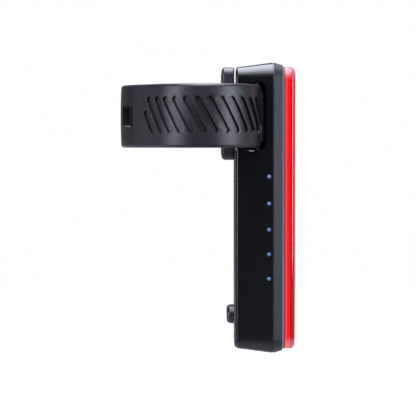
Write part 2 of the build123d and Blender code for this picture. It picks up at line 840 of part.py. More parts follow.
with BuildPart() as board_link_pins:
    with BuildSketch(across(main_board_back)):
        with Locations((0, link_pin_z)):
            with GridLocations(link_pin_pitch, 1, link_pin_count, 1):
                Circle(link_pin_radius)
    extrude(amount=led_board_front - main_board_back)
board_link_pins.part.label = "board_link_pins"
export_step(board_link_pins.part, "parts/board_link_pins.step")

with BuildPart() as led_emitters:
    with BuildSketch(across(led_board_front, z=body_z)):
        with GridLocations(1, led_pitch, 1, led_count):
            Rectangle(led_size, led_size)
    extrude(amount=led_height)
led_emitters.part.label = "led_emitters"
export_step(led_emitters.part, "parts/led_emitters.step")

with BuildPart() as reflector_tray:
    reflector_front = led_board_front + reflector_thickness
    cup_width = led_board_width - 2 * reflector_cup_side_inset
    extrude(
        outline(led_board_front, led_board_width, led_board_height, board_thickness),
        amount=reflector_thickness,
    )
    with BuildSketch(across(reflector_front, z=body_z)):
        with GridLocations(1, led_pitch, 1, led_count):
            Rectangle(cup_width, led_pitch - reflector_rib)
    extrude(amount=-reflector_thickness, taper=reflector_cup_angle, mode=Mode.SUBTRACT)
reflector_tray.part.label = "reflector_tray"
export_step(reflector_tray.part, "parts/reflector_tray.step")

with BuildPart() as light_diffuser:
    extrude(
        outline(
            diffuser_back,
            led_board_width - 2 * diffuser_side_inset,
            led_board_height - 2 * diffuser_end_inset,
            board_thickness,
        ),
        amount=diffuser_thickness,
    )
    fillet(light_diffuser.faces().sort_by(Axis.X)[-1].edges(), diffuser_round)
light_diffuser.part.label = "light_diffuser"
export_step(light_diffuser.part, "parts/light_diffuser.step")

# Case screws: the top pair starts on the housing, the bottom pair on the back cover
with BuildPart() as case_screws:
    for head_back, places in ((housing_back, case_screws_top), (cover_back, case_screws_bottom)):
        add(
            screw(
                head_back,
                places,
                case_screw_head_radius,
                case_screw_head_height,
                case_screw_radius,
                case_screw_length,
            )
        )
case_screws.part.label = "case_screws"
export_step(case_screws.part, "parts/case_screws.step")

# Saddle bracket: a plate on a neck, screwed to the housing's back
with BuildPart() as saddle_bracket:
    plate_back = pad_back - bracket_plate_thickness
    extrude(
        outline(
            plate_back,
            bracket_plate_width,
            bracket_plate_height,
            bracket_plate_thickness,
            pad_z,
        ),
        amount=bracket_plate_thickness,
    )
    extrude(
        outline(
            pad_back,
            bracket_neck_width,
            bracket_neck_height,
            bracket_plate_thickness,
            pad_z,
        ),
        amount=housing_back - pad_back,
    )
    extrude(
        dots(plate_back, bracket_screw_places, bracket_screw_head_radius + slip),
        amount=bracket_screw_head_height,
        mode=Mode.SUBTRACT,
    )
    extrude(
        dots(plate_back, bracket_screw_places, case_screw_radius + slip),
        amount=housing_back - plate_back,
        mode=Mode.SUBTRACT,
    )
saddle_bracket.part.label = "saddle_bracket"
export_step(saddle_bracket.part, "parts/saddle_bracket.step")

with BuildPart() as bracket_screws:
    add(
        screw(
            plate_back,
            bracket_screw_places,
            bracket_screw_head_radius,
            bracket_screw_head_height,
            case_screw_radius,
            bracket_screw_length,
        )
    )
bracket_screws.part.label = "bracket_screws"
export_step(bracket_screws.part, "parts/bracket_screws.step")

# Saddle pad: a rubber block hollowed to the seat post's radius, over the bracket's plate
with BuildPart() as saddle_pad:
    extrude(outline(pad_reach, pad_width, pad_height, pad_corner, pad_z), amount=pad_back - pad_reach)
    fillet(saddle_pad.faces().sort_by(Axis.X)[0].edges(), pad_round)
    with BuildSketch(Plane.XY.offset(pad_z)):
        Circle(post_radius)
    extrude(amount=pad_height, both=True, mode=Mode.SUBTRACT)
    extrude(
        outline(
            plate_back,
            bracket_plate_width + 2 * slip,
            bracket_plate_height + 2 * slip,
            bracket_plate_thickness,
            pad_z,
        ),
        amount=bracket_plate_thickness,
        mode=Mode.SUBTRACT,
    )
saddle_pad.part.label = "saddle_pad"
export_step(saddle_pad.part, "parts/saddle_pad.step")


def near_run(grow):
    """The strap's near half, seen from above, a distance outside its inner face."""
    turn = radians(spread_hinge_angle)
    radius = post_radius + grow
    with BuildLine() as run:
        start = (-radius * cos(turn), radius * sin(turn))
        nose = JernArc(start, (-sin(turn), -cos(turn)), radius, nose_half_angle + spread_hinge_angle)
        flank = PolarLine(nose @ 1, near_flank, direction=nose % 1)
        JernArc(flank @ 1, flank % 1, near_bulge_radius + grow, 180 - nose_half_angle)
    return run.wire()


def mid_run(grow):
    """The strap's middle length on the far side, from one hinge line to the other."""
    turn = radians(spread_hinge_angle)
    radius = post_radius + grow
    with BuildLine() as run:
        start = (-radius * cos(turn), radius * sin(turn))
        nose = JernArc(start, (sin(turn), cos(turn)), radius, spread_hinge_angle - nose_half_angle)
        flank = PolarLine(nose @ 1, far_flank, direction=nose % 1)
        JernArc(flank @ 1, flank % 1, far_bulge_radius + grow, -peel_hinge_turn)
    return run.wire()


def tail_run(grow):
    """The strap's tail, from the second hinge line to the tip beside the body."""
    start = mid_run(grow)
    with BuildLine() as run:
        bulge = JernArc(start @ 1, start % 1, far_bulge_radius + grow, peel_hinge_turn - far_bulge_turn)
        slope = PolarLine(bulge @ 1, far_slope, direction=bulge % 1)
        bend = JernArc(slope @ 1, slope % 1, tail_bend_radius - grow, slope_angle)
        PolarLine(bend @ 1, tail_length, direction=bend % 1)
    return run.wire()


def band(run, low, high):
    """The face between two parallel runs of the strap, seen from above."""
    inner = run(low)
    outer = run(high)
    with BuildSketch() as face:
        with BuildLine():
            add(inner)
            add(outer)
            Line(inner @ 0, outer @ 0)
            Line(inner @ 1, outer @ 1)
        make_face()
    return face.sketch


def long_edges(piece, run, grow):
    """The piece's edges, top and bottom, that follow one of its runs."""
    line = run(grow)

    def follows(edge):
        point = edge @ 0.5
        return line.distance_to(Vertex(point.X, point.Y, 0)) < touch

    return piece.edges().filter_by(follows)


def on_strap(run, distance, grow, side):
    """A plane on a run, a distance along it, that faces away from the post."""
    line = run(grow)
    tangent = line.tangent_at(distance, position_mode=PositionMode.LENGTH)
    outward = tangent.cross(Vector(0, 0, side))
    return Plane(
        origin=line.position_at(distance, position_mode=PositionMode.LENGTH),
        x_dir=tangent * side,
        z_dir=outward,
    )


def strap_length(run):
    """One length of the strap, with its long edges rounded."""
    with BuildPart() as length:
        extrude(band(run, 0, strap_thickness), amount=strap_width / 2, both=True)
        fillet(long_edges(length, run, strap_thickness), strap_outer_round)
        fillet(long_edges(length, run, 0), strap_inner_round)
    return length.part


def slots(run, distances, side):
    """Square holes through the strap, at distances along its middle from the run's start."""
    with BuildPart() as holes:
        for distance in distances:
            with BuildSketch(on_strap(run, distance, middle, side)):
                RectangleRounded(slot_length, slot_height, slot_corner)
            extrude(amount=strap_thickness, both=True)
    return holes.part


# Near half of the strap: grooved, with one slot, its end narrowed round the anchor pin
near_outer = near_run(strap_thickness)
nearest_place = (nose_turn + radians(spread_hinge_angle)) * (post_radius + strap_thickness) + near_flank
nearest_place += nose_turn * (near_bulge_radius + strap_thickness)
slant = radians(groove_slant_angle)
groove_span = groove_height / cos(slant) - groove_width
near_middle_end = near_run(middle) @ 1
with BuildPart() as groove_band:
    for count in range(-1, groove_count):
        share = short_groove_share if count < 0 else 1
        lift = (1 - share) * groove_span / 2
        place = nearest_place + first_groove + count * groove_pitch
        with BuildSketch(on_strap(near_run, place, strap_thickness, 1)):
            with Locations((lift * sin(slant), groove_rise - lift * cos(slant))):
                SlotCenterToCenter(groove_span * share, groove_width, rotation=groove_slant_angle - 90)
        extrude(amount=strap_thickness / 2, both=True)
    extrude(
        band(near_run, strap_thickness - groove_depth, strap_thickness + groove_depth),
        amount=strap_width / 2,
        both=True,
        mode=Mode.INTERSECT,
    )
with BuildPart() as strap_near:
    add(strap_length(near_run))
    near_reach = near_outer.bounding_box().max.X
    with BuildSketch(Plane.XZ):
        RectangleRounded(2 * near_reach, strap_width, near_end_corner)
    extrude(amount=body_height, both=True, mode=Mode.INTERSECT)
    with BuildSketch(Plane.XY):
        with Locations((near_middle_end.X, anchor_y)):
            Circle(anchor_eye_radius)
    extrude(amount=anchor_eye_half_height, both=True)
    with BuildSketch(Plane.XY):
        with Locations((near_middle_end.X, anchor_y)):
            Circle(anchor_pin_radius + pin_fit)
    extrude(amount=strap_width, both=True, mode=Mode.SUBTRACT)
    add(slots(near_run, [spread_hinge_place + near_slot_place], 1), mode=Mode.SUBTRACT)
    add(groove_band.part, mode=Mode.SUBTRACT)
strap_near.part.label = "strap_near"
export_step(strap_near.part, "parts/strap_near.step")

# Middle length of the strap, with half of the row of slots
with BuildPart() as strap_mid:
    add(strap_length(mid_run))
    mid_places = [first_slot + count * slot_pitch - spread_hinge_place for count in range(mid_slot_count)]
    add(slots(mid_run, mid_places, -1), mode=Mode.SUBTRACT)
strap_mid.part.label = "strap_mid"
export_step(strap_mid.part, "parts/strap_mid.step")

# Tail of the strap: its last slot is over the hook, and its tip is rounded
tail_places = [(count + 0.5) * slot_pitch for count in range(tail_slot_count)]
with BuildPart() as strap_tail:
    add(strap_length(tail_run))
    add(slots(tail_run, tail_places, -1), mode=Mode.SUBTRACT)
    tip = strap_tail.faces().sort_by(Axis.X)[-1]
    tail_tip_x = tip.center().X
    with BuildSketch(Plane.XZ):
        RectangleRounded(2 * tail_tip_x, strap_width, tail_corner)
    extrude(amount=body_height, both=True, mode=Mode.INTERSECT)
strap_tail.part.label = "strap_tail"
export_step(strap_tail.part, "parts/strap_tail.step")

# Anchor pin through the strap's end, seated in the pocket's top and bottom
with BuildPart() as strap_anchor_pin:
    with BuildSketch(Plane.XY):
        with Locations((near_middle_end.X, anchor_y)):
            Circle(anchor_pin_radius)
    extrude(amount=pocket_half_height + anchor_pin_seat, both=True)
strap_anchor_pin.part.label = "strap_anchor_pin"
export_step(strap_anchor_pin.part, "parts/strap_anchor_pin.step")

# Hook in the far pocket: foot plate, stem through the strap's slot, and a lip
tail_inner_y = (tail_run(0) @ 1).Y
hook_x = tail_x + hooked_slot_set_in + hook_lead
hook_top = tail_inner_y + strap_thickness + 2 * skin_gap + hook_lip_thickness
with BuildPart() as strap_hook:
    foot = Plane(origin=(pocket_x, pocket_floor, 0), x_dir=(1, 0, 0), z_dir=(0, 1, 0))
    with BuildSketch(foot):
        RectangleRounded(hook_foot_length, 2 * hook_foot_half_height, pocket_corner - skin_gap)
    extrude(amount=hook_foot_thickness)
    with BuildSketch(Plane.XY):
        with BuildLine():
            stem_low = hook_x - hook_stem_thickness / 2
            stem_high = hook_x + hook_stem_thickness / 2
            Polyline(
                (stem_low, pocket_floor),
                (stem_low, hook_top),
                (stem_high + hook_lip, hook_top),
                (stem_high + hook_lip, hook_top - hook_lip_thickness / 2),
                (stem_high, hook_top - hook_lip_thickness),
                (stem_high, pocket_floor),
                close=True,
            )
        make_face()
    extrude(amount=hook_half_height, both=True)
    hook_screw_places = [(0, hook_screw_z), (0, -hook_screw_z)]
    with BuildSketch(foot.offset(hook_foot_thickness)):
        with Locations(*hook_screw_places):
            Circle(hook_screw_head_radius + slip)
    extrude(amount=-hook_screw_head_height, mode=Mode.SUBTRACT)
    with BuildSketch(foot):
        with Locations(*hook_screw_places):
            Circle(board_screw_radius + slip)
    extrude(amount=hook_foot_thickness, mode=Mode.SUBTRACT)
strap_hook.part.label = "strap_hook"
export_step(strap_hook.part, "parts/strap_hook.step")

with BuildPart() as hook_screws:
    with BuildSketch(foot.offset(hook_foot_thickness)):
        with Locations(*hook_screw_places):
            Circle(hook_screw_head_radius)
    extrude(amount=-hook_screw_head_height)
    with BuildSketch(foot.offset(hook_foot_thickness)):
        with Locations(*hook_screw_places):
            Circle(hook_screw_head_radius / 2)
    extrude(amount=-hook_screw_head_height / 2, mode=Mode.SUBTRACT)
    with BuildSketch(foot.offset(hook_foot_thickness - hook_screw_head_height)):
        with Locations(*hook_screw_places):
            Circle(board_screw_radius)
    extrude(amount=-(hook_screw_length - hook_screw_head_height))
hook_screws.part.label = "hook_screws"
export_step(hook_screws.part, "parts/hook_screws.step")
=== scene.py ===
# %% [markdown]
# A rear light for a bicycle, dressed in Blender.
# The frame already holds every hard piece at its real size, so this script has two jobs.
# It gives each piece the finish of the real one, and it models what a mould or a soft
# material does better than a drafted solid: the strap, the pad, the lens, the button and
# the heads of the screws.

# %% Load the frame
import json
from math import ceil, cos, pi, radians, sin, tan

import bmesh
import bpy
from mathutils import Matrix, Vector


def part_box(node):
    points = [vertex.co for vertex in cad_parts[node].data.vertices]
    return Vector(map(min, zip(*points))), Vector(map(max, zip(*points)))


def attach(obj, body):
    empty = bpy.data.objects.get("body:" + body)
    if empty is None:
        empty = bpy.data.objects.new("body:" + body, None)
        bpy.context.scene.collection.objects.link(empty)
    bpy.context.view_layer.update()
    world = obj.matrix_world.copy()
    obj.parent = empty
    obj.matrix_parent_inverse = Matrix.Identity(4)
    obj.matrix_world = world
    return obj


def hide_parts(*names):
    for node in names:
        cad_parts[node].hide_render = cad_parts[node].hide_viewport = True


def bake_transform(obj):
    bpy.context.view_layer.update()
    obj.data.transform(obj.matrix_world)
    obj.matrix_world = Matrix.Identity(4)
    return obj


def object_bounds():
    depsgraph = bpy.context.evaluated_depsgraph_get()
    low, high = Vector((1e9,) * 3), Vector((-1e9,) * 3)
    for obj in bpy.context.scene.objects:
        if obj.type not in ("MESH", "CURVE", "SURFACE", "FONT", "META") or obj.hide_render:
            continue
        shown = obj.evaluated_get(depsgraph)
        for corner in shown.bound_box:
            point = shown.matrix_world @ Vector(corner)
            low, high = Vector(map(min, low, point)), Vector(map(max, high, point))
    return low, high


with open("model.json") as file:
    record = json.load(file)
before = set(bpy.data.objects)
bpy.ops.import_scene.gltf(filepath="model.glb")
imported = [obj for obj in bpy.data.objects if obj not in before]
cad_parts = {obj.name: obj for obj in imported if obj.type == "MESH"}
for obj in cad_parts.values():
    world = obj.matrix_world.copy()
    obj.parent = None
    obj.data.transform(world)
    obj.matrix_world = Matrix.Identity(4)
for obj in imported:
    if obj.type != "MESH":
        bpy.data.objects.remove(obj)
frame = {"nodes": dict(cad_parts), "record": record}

MM = 0.001
cad_low, cad_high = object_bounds()
cad_size = [round(v / MM, 1) for v in cad_high - cad_low]
print("frame:", len(frame["nodes"]), "nodes,", cad_size, "mm")

# %% [markdown]
# The photograph looks at the light's side from about half a metre: the strap's near bulge,
# 26 mm nearer to the camera than its nose, looks 5 % taller. The camera is level with the
# strap's lower edge, which shows no perspective, and tips down by two degrees to hold the
# whole body. The focal length follows from the real width of one pixel on the housing's side.

# %% Camera
PHOTO_WIDTH = 416
PIXEL = 0.3169 * MM
CAMERA_DISTANCE = 0.56
CAMERA_X = 9.86 * MM
CAMERA_Z = -9.08 * MM
CAMERA_TIP = 0.0357

housing_low, housing_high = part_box("rear_housing")
camera = bpy.data.objects.new("camera", bpy.data.cameras.new("camera"))
bpy.context.scene.collection.objects.link(camera)
camera.data.lens = camera.data.sensor_width * CAMERA_DISTANCE / (PHOTO_WIDTH * PIXEL)
camera.location = (CAMERA_X, housing_low.y - CAMERA_DISTANCE, CAMERA_Z)
camera.rotation_euler = (pi / 2 - CAMERA_TIP, 0, 0)
camera.data.dof.use_dof = False
bpy.context.scene.camera = camera
bpy.context.scene.view_settings.view_transform = "Standard"
print("camera lens", round(camera.data.lens, 1), "mm at", CAMERA_DISTANCE, "m")

# %% [markdown]
# Black plastic shows little but its reflections, so the lamps matter more than the paint.
# The strap has two soft bright bands with a dark one between them, so a row of tall
# softboxes stands on each side of the camera. An arch of softboxes overhead fades down towards
# the camera, which shades the housing's rounded corners and leaves its flat side black. The
# last two lamps of the right row are faint and draw the lines on the bezel's and the lens's
# edges. Each strength is the brightness that the lamp gives a white card.

# %% Lamps
STUDIO_CENTRE = Vector((0.01, 0, -0.03))
LAMP_COLOUR = (0.88, 0.90, 1.04)
ROW_TIP = -5
LEFT_ROW = ((-75, 0.1), (-62, 0.78), (-48, 0.66))
RIGHT_ROW = ((45, 0.75), (58, 0.95), (72, 0.2), (110, 0.08))
ARCH = ((110, 1.2), (88, 1.5), (66, 1.4), (44, 0.55))


def softbox(name, direction, card, distance, width, height):
    """A flat lamp that lights a white card facing it to the given brightness."""
    light = bpy.data.lights.new(name, "AREA")
    light.shape = "RECTANGLE"
    light.size, light.size_y = width, height
    light.energy = card * pi ** 2 * distance ** 2
    light.color = LAMP_COLOUR
    lamp = bpy.data.objects.new(name, light)
    bpy.context.scene.collection.objects.link(lamp)
    lamp.location = STUDIO_CENTRE + direction * distance
    lamp.rotation_euler = direction.to_track_quat("Z", "Y").to_euler()
    print(name, round(light.energy, 2), "W")


def around(azimuth, tip):
    """The direction turned from the camera's side towards the lens, then tipped up, in degrees."""
    azimuth, tip = radians(azimuth), radians(tip)
    return Vector((sin(azimuth) * cos(tip), -cos(azimuth) * cos(tip), sin(tip)))


for azimuth, card in LEFT_ROW + RIGHT_ROW:
    softbox(f"lamp_side_{azimuth}", around(azimuth, ROW_TIP), card, distance=0.9, width=0.2, height=0.7)
for tip, card in ARCH:
    softbox(f"lamp_arch_{tip}", around(0, tip), card, distance=0.8, width=0.5, height=0.3)

# %% [markdown]
# Each finish below is a small sum of noises and masks. Written as nodes that is a long list,
# so a wrapper lets a socket be added and multiplied like a number: every operator makes one
# Math node. The finish's own method node makes any other, with its settings and its sockets.


# %% A socket that takes part in sums
class Wire:
    """A shader socket that can be added to, multiplied and masked."""

    def __init__(self, finish, socket):
        self.finish = finish
        self.socket = socket

    def _math(self, operation, *values):
        return self.finish.node("ShaderNodeMath", {"operation": operation}, dict(enumerate(values)))

    def __add__(self, other):
        return self._math("ADD", self, other)

    def __sub__(self, other):
        return self._math("SUBTRACT", self, other)

    def __mul__(self, other):
        return self._math("MULTIPLY", self, other)

    def __rsub__(self, other):
        return self._math("SUBTRACT", other, self)

    __radd__ = __add__
    __rmul__ = __mul__

    def away(self):
        """How far the value is from 0, to either side."""
        return self._math("ABSOLUTE", self)

    def wave(self, pitch):
        """A sine from -1 to 1 that repeats at the pitch."""
        return self._math("SINE", self * (2 * pi / pitch))

    def clipped(self, low, high):
        """0 up to low, 1 from high, and a smooth rise between."""
        settings = {"interpolation_type": "SMOOTHSTEP"}
        return self.finish.node("ShaderNodeMapRange", settings, {"Value": self, 1: low, 2: high})

    def band(self, low, full, fading, high):
        """1 between full and fading, and 0 below low and above high."""
        return self.clipped(low, full) - self.clipped(fading, high)


# %% A finish and the nodes that feed it
finishes = {}


class Finish:
    """A material with one Principled shader, and the nodes that feed it."""

    def __init__(self, name, **values):
        self.material = bpy.data.materials.new(name)
        self.material.use_nodes = True
        finishes[name] = self.material
        self.tree = self.material.node_tree
        self.tree.nodes.clear()
        self.shader = self.tree.nodes.new("ShaderNodeBsdfPrincipled")
        self.output = self.tree.nodes.new("ShaderNodeOutputMaterial")
        self.tree.links.new(self.shader.outputs[0], self.output.inputs["Surface"])
        for socket, value in values.items():
            self.target(socket).default_value = value
        self.place = self.node("ShaderNodeTexCoord", output="Object")

    def target(self, socket):
        """The shader's own socket for a name such as base_color."""
        return self.shader.inputs[socket.replace("_", " ").title().replace("Ior", "IOR")]

    def node(self, kind, settings=None, inputs=None, output=0):
        """Makes a node, sets it, feeds it, and gives one of its outputs."""
        node = self.tree.nodes.new(kind)
        for key, value in (settings or {}).items():
            setattr(node, key, value)
        for key, value in (inputs or {}).items():
            if isinstance(value, Wire):
                self.tree.links.new(value.socket, node.inputs[key])
            else:
                node.inputs[key].default_value = value
        return Wire(self, node.outputs[output])

    def axis(self, name):
        """One of the three object coordinates, in metres."""
        return self.node("ShaderNodeSeparateXYZ", None, {0: self.place}, output="XYZ".index(name))

    def noise(self, size_mm, detail=2.0, roughness=0.5, stretch=(1, 1, 1)):
        """Noise whose blobs are about that wide, between 0 and 1."""
        place = self.place
        if stretch != (1, 1, 1):
            place = self.node("ShaderNodeMapping", None, {"Vector": place, "Scale": stretch})
        inputs = {"Vector": place, "Scale": 1 / (size_mm * MM), "Detail": detail, "Roughness": roughness}
        return self.node("ShaderNodeTexNoise", None, inputs)

    def mix(self, share, low, high):
        """A colour between two, by a share from 0 to 1."""
        low, high = (value if isinstance(value, Wire) else (*value, 1) for value in (low, high))
        return self.node("ShaderNodeMix", {"data_type": "RGBA"}, {0: share, 6: low, 7: high}, output=2)

    def feed(self, **wires):
        """Links wires to the shader's sockets, named as in base_color."""
        for socket, wire in wires.items():
            self.tree.links.new(wire.socket, self.target(socket))

    def paint(self, colour):
        """Feeds the base colour and keeps it, so that a mask can be laid over it later."""
        self.painted = colour
        self.feed(base_color=colour)

    def bump(self, height, depth_mm):
        """Relief of that depth, from a height between 0 and 1."""
        inputs = {"Height": height, "Distance": depth_mm * MM, "Strength": 1.0}
        self.feed(normal=self.node("ShaderNodeBump", None, inputs))


print("shader helpers ready")

# %% [markdown]
# The housing is black ABS from a mould with a fine spark-eroded texture, whose grain breaks up
# the light. Two noises make it: one the size of the grain for the relief, one some centimetres
# wide that lets the roughness drift, as where hands have polished the texture a little. The
# other hard plastics are the same recipe with other colours, gloss and grain.


# %% Moulded plastics
def moulded(name, colour, roughness, grain_mm, relief_mm, specular):
    """Textured plastic: colour, mean roughness, grain size, grain depth and gloss."""
    finish = Finish(name, specular_ior_level=specular)
    grain = finish.noise(grain_mm, detail=3.0, roughness=0.6)
    drift = finish.noise(28.0)
    brighter = tuple(channel * 1.5 for channel in colour)
    finish.paint(finish.mix(grain * 0.6 + drift * 0.4, colour, brighter))
    finish.feed(roughness=(drift - 0.5) * 0.14 + (grain - 0.5) * 0.1 + roughness)
    finish.bump(grain, relief_mm)
    return finish


moulded("housing_plastic", (0.0004, 0.0006, 0.0011), 0.28, 0.28, 0.005, 0.38)
moulded("cover_plastic", (0.006, 0.006, 0.009), 0.38, 0.24, 0.008, 0.5)
moulded("chip_resin", (0.012, 0.012, 0.013), 0.5, 0.15, 0.006, 0.4)
moulded("white_plastic", (0.62, 0.62, 0.61), 0.28, 0.5, 0.002, 0.5)
moulded("milky_plastic", (0.66, 0.62, 0.61), 0.35, 0.6, 0.003, 0.5)
print("plastics:", sorted(finishes))

# %% [markdown]
# The bezel's mould has a coarser grain, and its front edge carries a painted highlight: the
# fine pale line where the edge mirrors a lamp. A mask on the distance behind the bezel's front
# lays a lighter grey over the black there.

# %% Bezel
bezel_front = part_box("front_bezel")[1].x
RIM_START = 0.75 * MM
RIM_FULL = 0.4 * MM
bezel_finish = moulded("bezel_plastic", (0.004, 0.005, 0.007), 0.36, 0.6, 0.07, 0.33)
# Painted highlight along the bezel's front edge.
painted_rim_highlight = bezel_finish.axis("X").clipped(bezel_front - RIM_START, bezel_front - RIM_FULL)
bezel_finish.paint(bezel_finish.mix(painted_rim_highlight, bezel_finish.painted, (0.10, 0.10, 0.115)))
print("bezel front at", round(bezel_front / MM, 2), "mm")

# %% [markdown]
# Silicone rubber is matt, a little grey where it has dust on it, and never quite even. A
# medium noise stands for the haze and a very small one for the dust, and a touch of sheen
# lifts the faces that turn away, which is what makes rubber look soft. The battery's foam is
# the same recipe, rougher and with more sheen.


# %% Rubbers
def rubber(name, colour, haze, roughness, sheen):
    """Matt rubber: its colour, the colour of its haze, mean roughness and sheen."""
    finish = Finish(name, specular_ior_level=0.4, sheen_weight=sheen, sheen_roughness=0.45)
    cloud = finish.noise(7.0, detail=4.0, roughness=0.6)
    grain = finish.noise(0.35)
    dust = finish.noise(0.16, detail=0.0).clipped(0.70, 0.76)
    finish.paint(finish.mix(cloud * 0.75 + dust * 0.35, colour, haze))
    finish.feed(roughness=(cloud - 0.5) * 0.16 + dust * 0.12 + roughness)
    finish.bump(grain * 0.7 + cloud * 0.3, 0.012)


rubber("strap_rubber", (0.003, 0.003, 0.005), (0.008, 0.008, 0.011), 0.42, 0.0)
rubber("soft_rubber", (0.008, 0.008, 0.012), (0.018, 0.018, 0.024), 0.44, 0.01)
rubber("button_rubber", (0.008, 0.008, 0.011), (0.018, 0.018, 0.022), 0.36, 0.01)
rubber("foam_pad", (0.020, 0.020, 0.021), (0.05, 0.05, 0.052), 0.85, 0.2)
print("rubbers:", [name for name in finishes if "rubber" in name])

# %% [markdown]
# The lens is clear red acrylic over a milky diffuser, and it glows at its side, where light
# leaves through the edge. Real light from the diffuser takes long to trace; a tint with a
# third of transmission and a red emission, a painted glow, gives the same look. Faint flow
# lines of the moulding deepen the tint. The indicator's light pipe is the same plastic in pale
# blue, with a faint blue emission as its painted glow.


# %% Clear plastics
def tinted(name, colour, deep, transmission, roughness, **values):
    """Clear plastic with a tint that deepens in faint flow lines."""
    finish = Finish(name, transmission_weight=transmission, coat_roughness=0.05, ior=1.49, **values)
    flow = finish.noise(9.0, detail=1.0, stretch=(1, 1, 0.25))
    haze = finish.noise(0.4, detail=1.0)
    finish.paint(finish.mix(flow * 0.5 + haze * 0.15, colour, deep))
    finish.feed(roughness=(flow - 0.5) * 0.06 + roughness)
    finish.bump(flow, 0.02)
    return finish


lens_finish = tinted("red_lens", (1.0, 0.006, 0.008), (0.90, 0.004, 0.007), 0.3, 0.14,
                     specular_ior_level=0.0, emission_strength=0.55)
# The pipe's emission is a painted blue glow.
tinted("clear_pipe", (0.10, 0.15, 0.30), (0.07, 0.11, 0.24), 0.25, 0.35, coat_weight=0.2,
       emission_color=(0.25, 0.38, 0.8, 1), emission_strength=0.12)
print("clear plastics:", list(finishes)[-2:])

# %% [markdown]
# Seen from the side, the lens isn't one even red. Behind its front face lies the round of its
# edge, which bends light away and is painted dark, with one white line where it mirrors a lamp.
# Then comes the bright side, with a paler line that is a painted reflection, and a painted
# shadow where the lens meets the bezel. The two ends get a painted pale reflection of the lamps
# above and below. Each of these is a band: a mask on the depth behind the front face, or on the
# height from the middle, so it moves with the lens.

# %% Bands of the lens
lens_low, lens_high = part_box("front_lens")
lens_middle_z = (lens_low.z + lens_high.z) / 2
lens_width, lens_height = lens_high.y - lens_low.y, lens_high.z - lens_low.z
END_REFLECTION_START = 4.4 * MM
END_REFLECTION_FULL = 1.0 * MM

depth = lens_high.x - lens_finish.axis("X")
front = 1 - depth.clipped(0.05 * MM, 0.3 * MM)
dark_round = depth.band(0.05 * MM, 0.3 * MM, 1.45 * MM, 1.75 * MM) * 0.95
white_line = depth.band(0.4 * MM, 0.5 * MM, 0.78 * MM, 0.88 * MM)
paler_line = depth.band(2.4 * MM, 2.7 * MM, 3.0 * MM, 3.3 * MM)
# Painted shadow along the seam with the bezel.
painted_seam_shadow = depth.clipped(3.0 * MM, 3.3 * MM) * 0.9
from_middle = (lens_finish.axis("Z") - lens_middle_z).away()
# Painted pale reflection at both ends and on the paler line.
ends = from_middle.clipped(lens_height / 2 - END_REFLECTION_START, lens_height / 2 - END_REFLECTION_FULL)
painted_reflection = ends * 0.42 + paler_line * 0.12
print("lens", round(lens_height / MM, 1), "mm tall, front at", round(lens_high.x / MM, 1), "mm")

# %% [markdown]
# The same bands steer the lens's colour, its glow and its gloss. On the front face the glow
# follows what is behind it: upright flutes at one pitch, the row of LEDs at another, and an
# uneven noise. The shader's plain reflection is off, and the clear coat makes the gloss only
# where a band lets it, so that the white line stays thin.

# %% Colour, glow and gloss of the lens
FLUTE_PITCH = 1.5 * MM
LED_PITCH = 9.0 * MM

mix = lens_finish.mix
# Painted shade on the round, painted reflection, and painted shadow at the seam, over the red.
red = mix(dark_round, lens_finish.painted, (0.10, 0.003, 0.005))
red = mix(front, red, (0.55, 0.004, 0.006))
red = mix(painted_reflection, red, (0.45, 0.26, 0.28))
lens_finish.paint(mix(painted_seam_shadow, red, (0.05, 0.001, 0.002)))

flutes = lens_finish.axis("Y").wave(FLUTE_PITCH)
leds = lens_finish.axis("Z").wave(LED_PITCH)
lit = lens_finish.noise(6.0) * 0.25 + flutes * 0.22 + leds * 0.12 + 0.38
# The glow carries the same painted shade, reflection and seam shadow.
glow = mix(dark_round, (1.0, 0.004, 0.006), (0.14, 0.003, 0.005))
glow = mix(front, glow, mix(lit, (0.13, 0.001, 0.002), (0.95, 0.015, 0.02)))
glow = mix(painted_reflection, glow, (0.4, 0.16, 0.18))
lens_finish.feed(emission_color=mix(painted_seam_shadow, glow, (0.02, 0.001, 0.001)))
lens_finish.feed(coat_weight=white_line * 0.98 + front * 0.3 + 0.02)
print("lens finish:", len(lens_finish.tree.nodes), "nodes")

# %% [markdown]
# Metal pieces are screws, the hook, the pin, the socket's shell and the battery's foil. All
# are brushed, rolled or plated, so one finish serves: a metallic base with streaks along the
# direction of the work, and darker stains in the hollows of a wider noise.


# %% Metals
def metal(name, colour, stain, roughness, stretch=(1, 1, 0.1)):
    """Worked metal with fine streaks and a few stains."""
    finish = Finish(name, metallic=1.0)
    streak = finish.noise(0.5, detail=3.0, roughness=0.7, stretch=stretch)
    blotch = finish.noise(3.0).clipped(0.45, 0.75)
    finish.paint(finish.mix(blotch * 0.6 + streak * 0.25, colour, stain))
    finish.feed(roughness=(streak - 0.5) * 0.24 + blotch * 0.08 + roughness)
    finish.bump(streak, 0.004)


metal("bright_steel", (0.62, 0.62, 0.63), (0.40, 0.39, 0.38), 0.28)
metal("dark_steel", (0.05, 0.05, 0.055), (0.025, 0.025, 0.027), 0.38)
metal("hook_metal", (0.13, 0.13, 0.14), (0.08, 0.08, 0.085), 0.4)
metal("gold_pins", (0.80, 0.58, 0.26), (0.62, 0.42, 0.18), 0.25)
metal("cell_foil", (0.66, 0.66, 0.68), (0.48, 0.48, 0.5), 0.33, stretch=(1, 0.2, 1))
print("finishes so far:", len(finishes))

# %% [markdown]
# A circuit board is copper under a coloured lacquer, so faint square-cornered traces stand up
# under the gloss. The edges between the cells of a Voronoi texture, measured with the
# chessboard distance, look like them. The LEDs' phosphor faces use the same recipe.


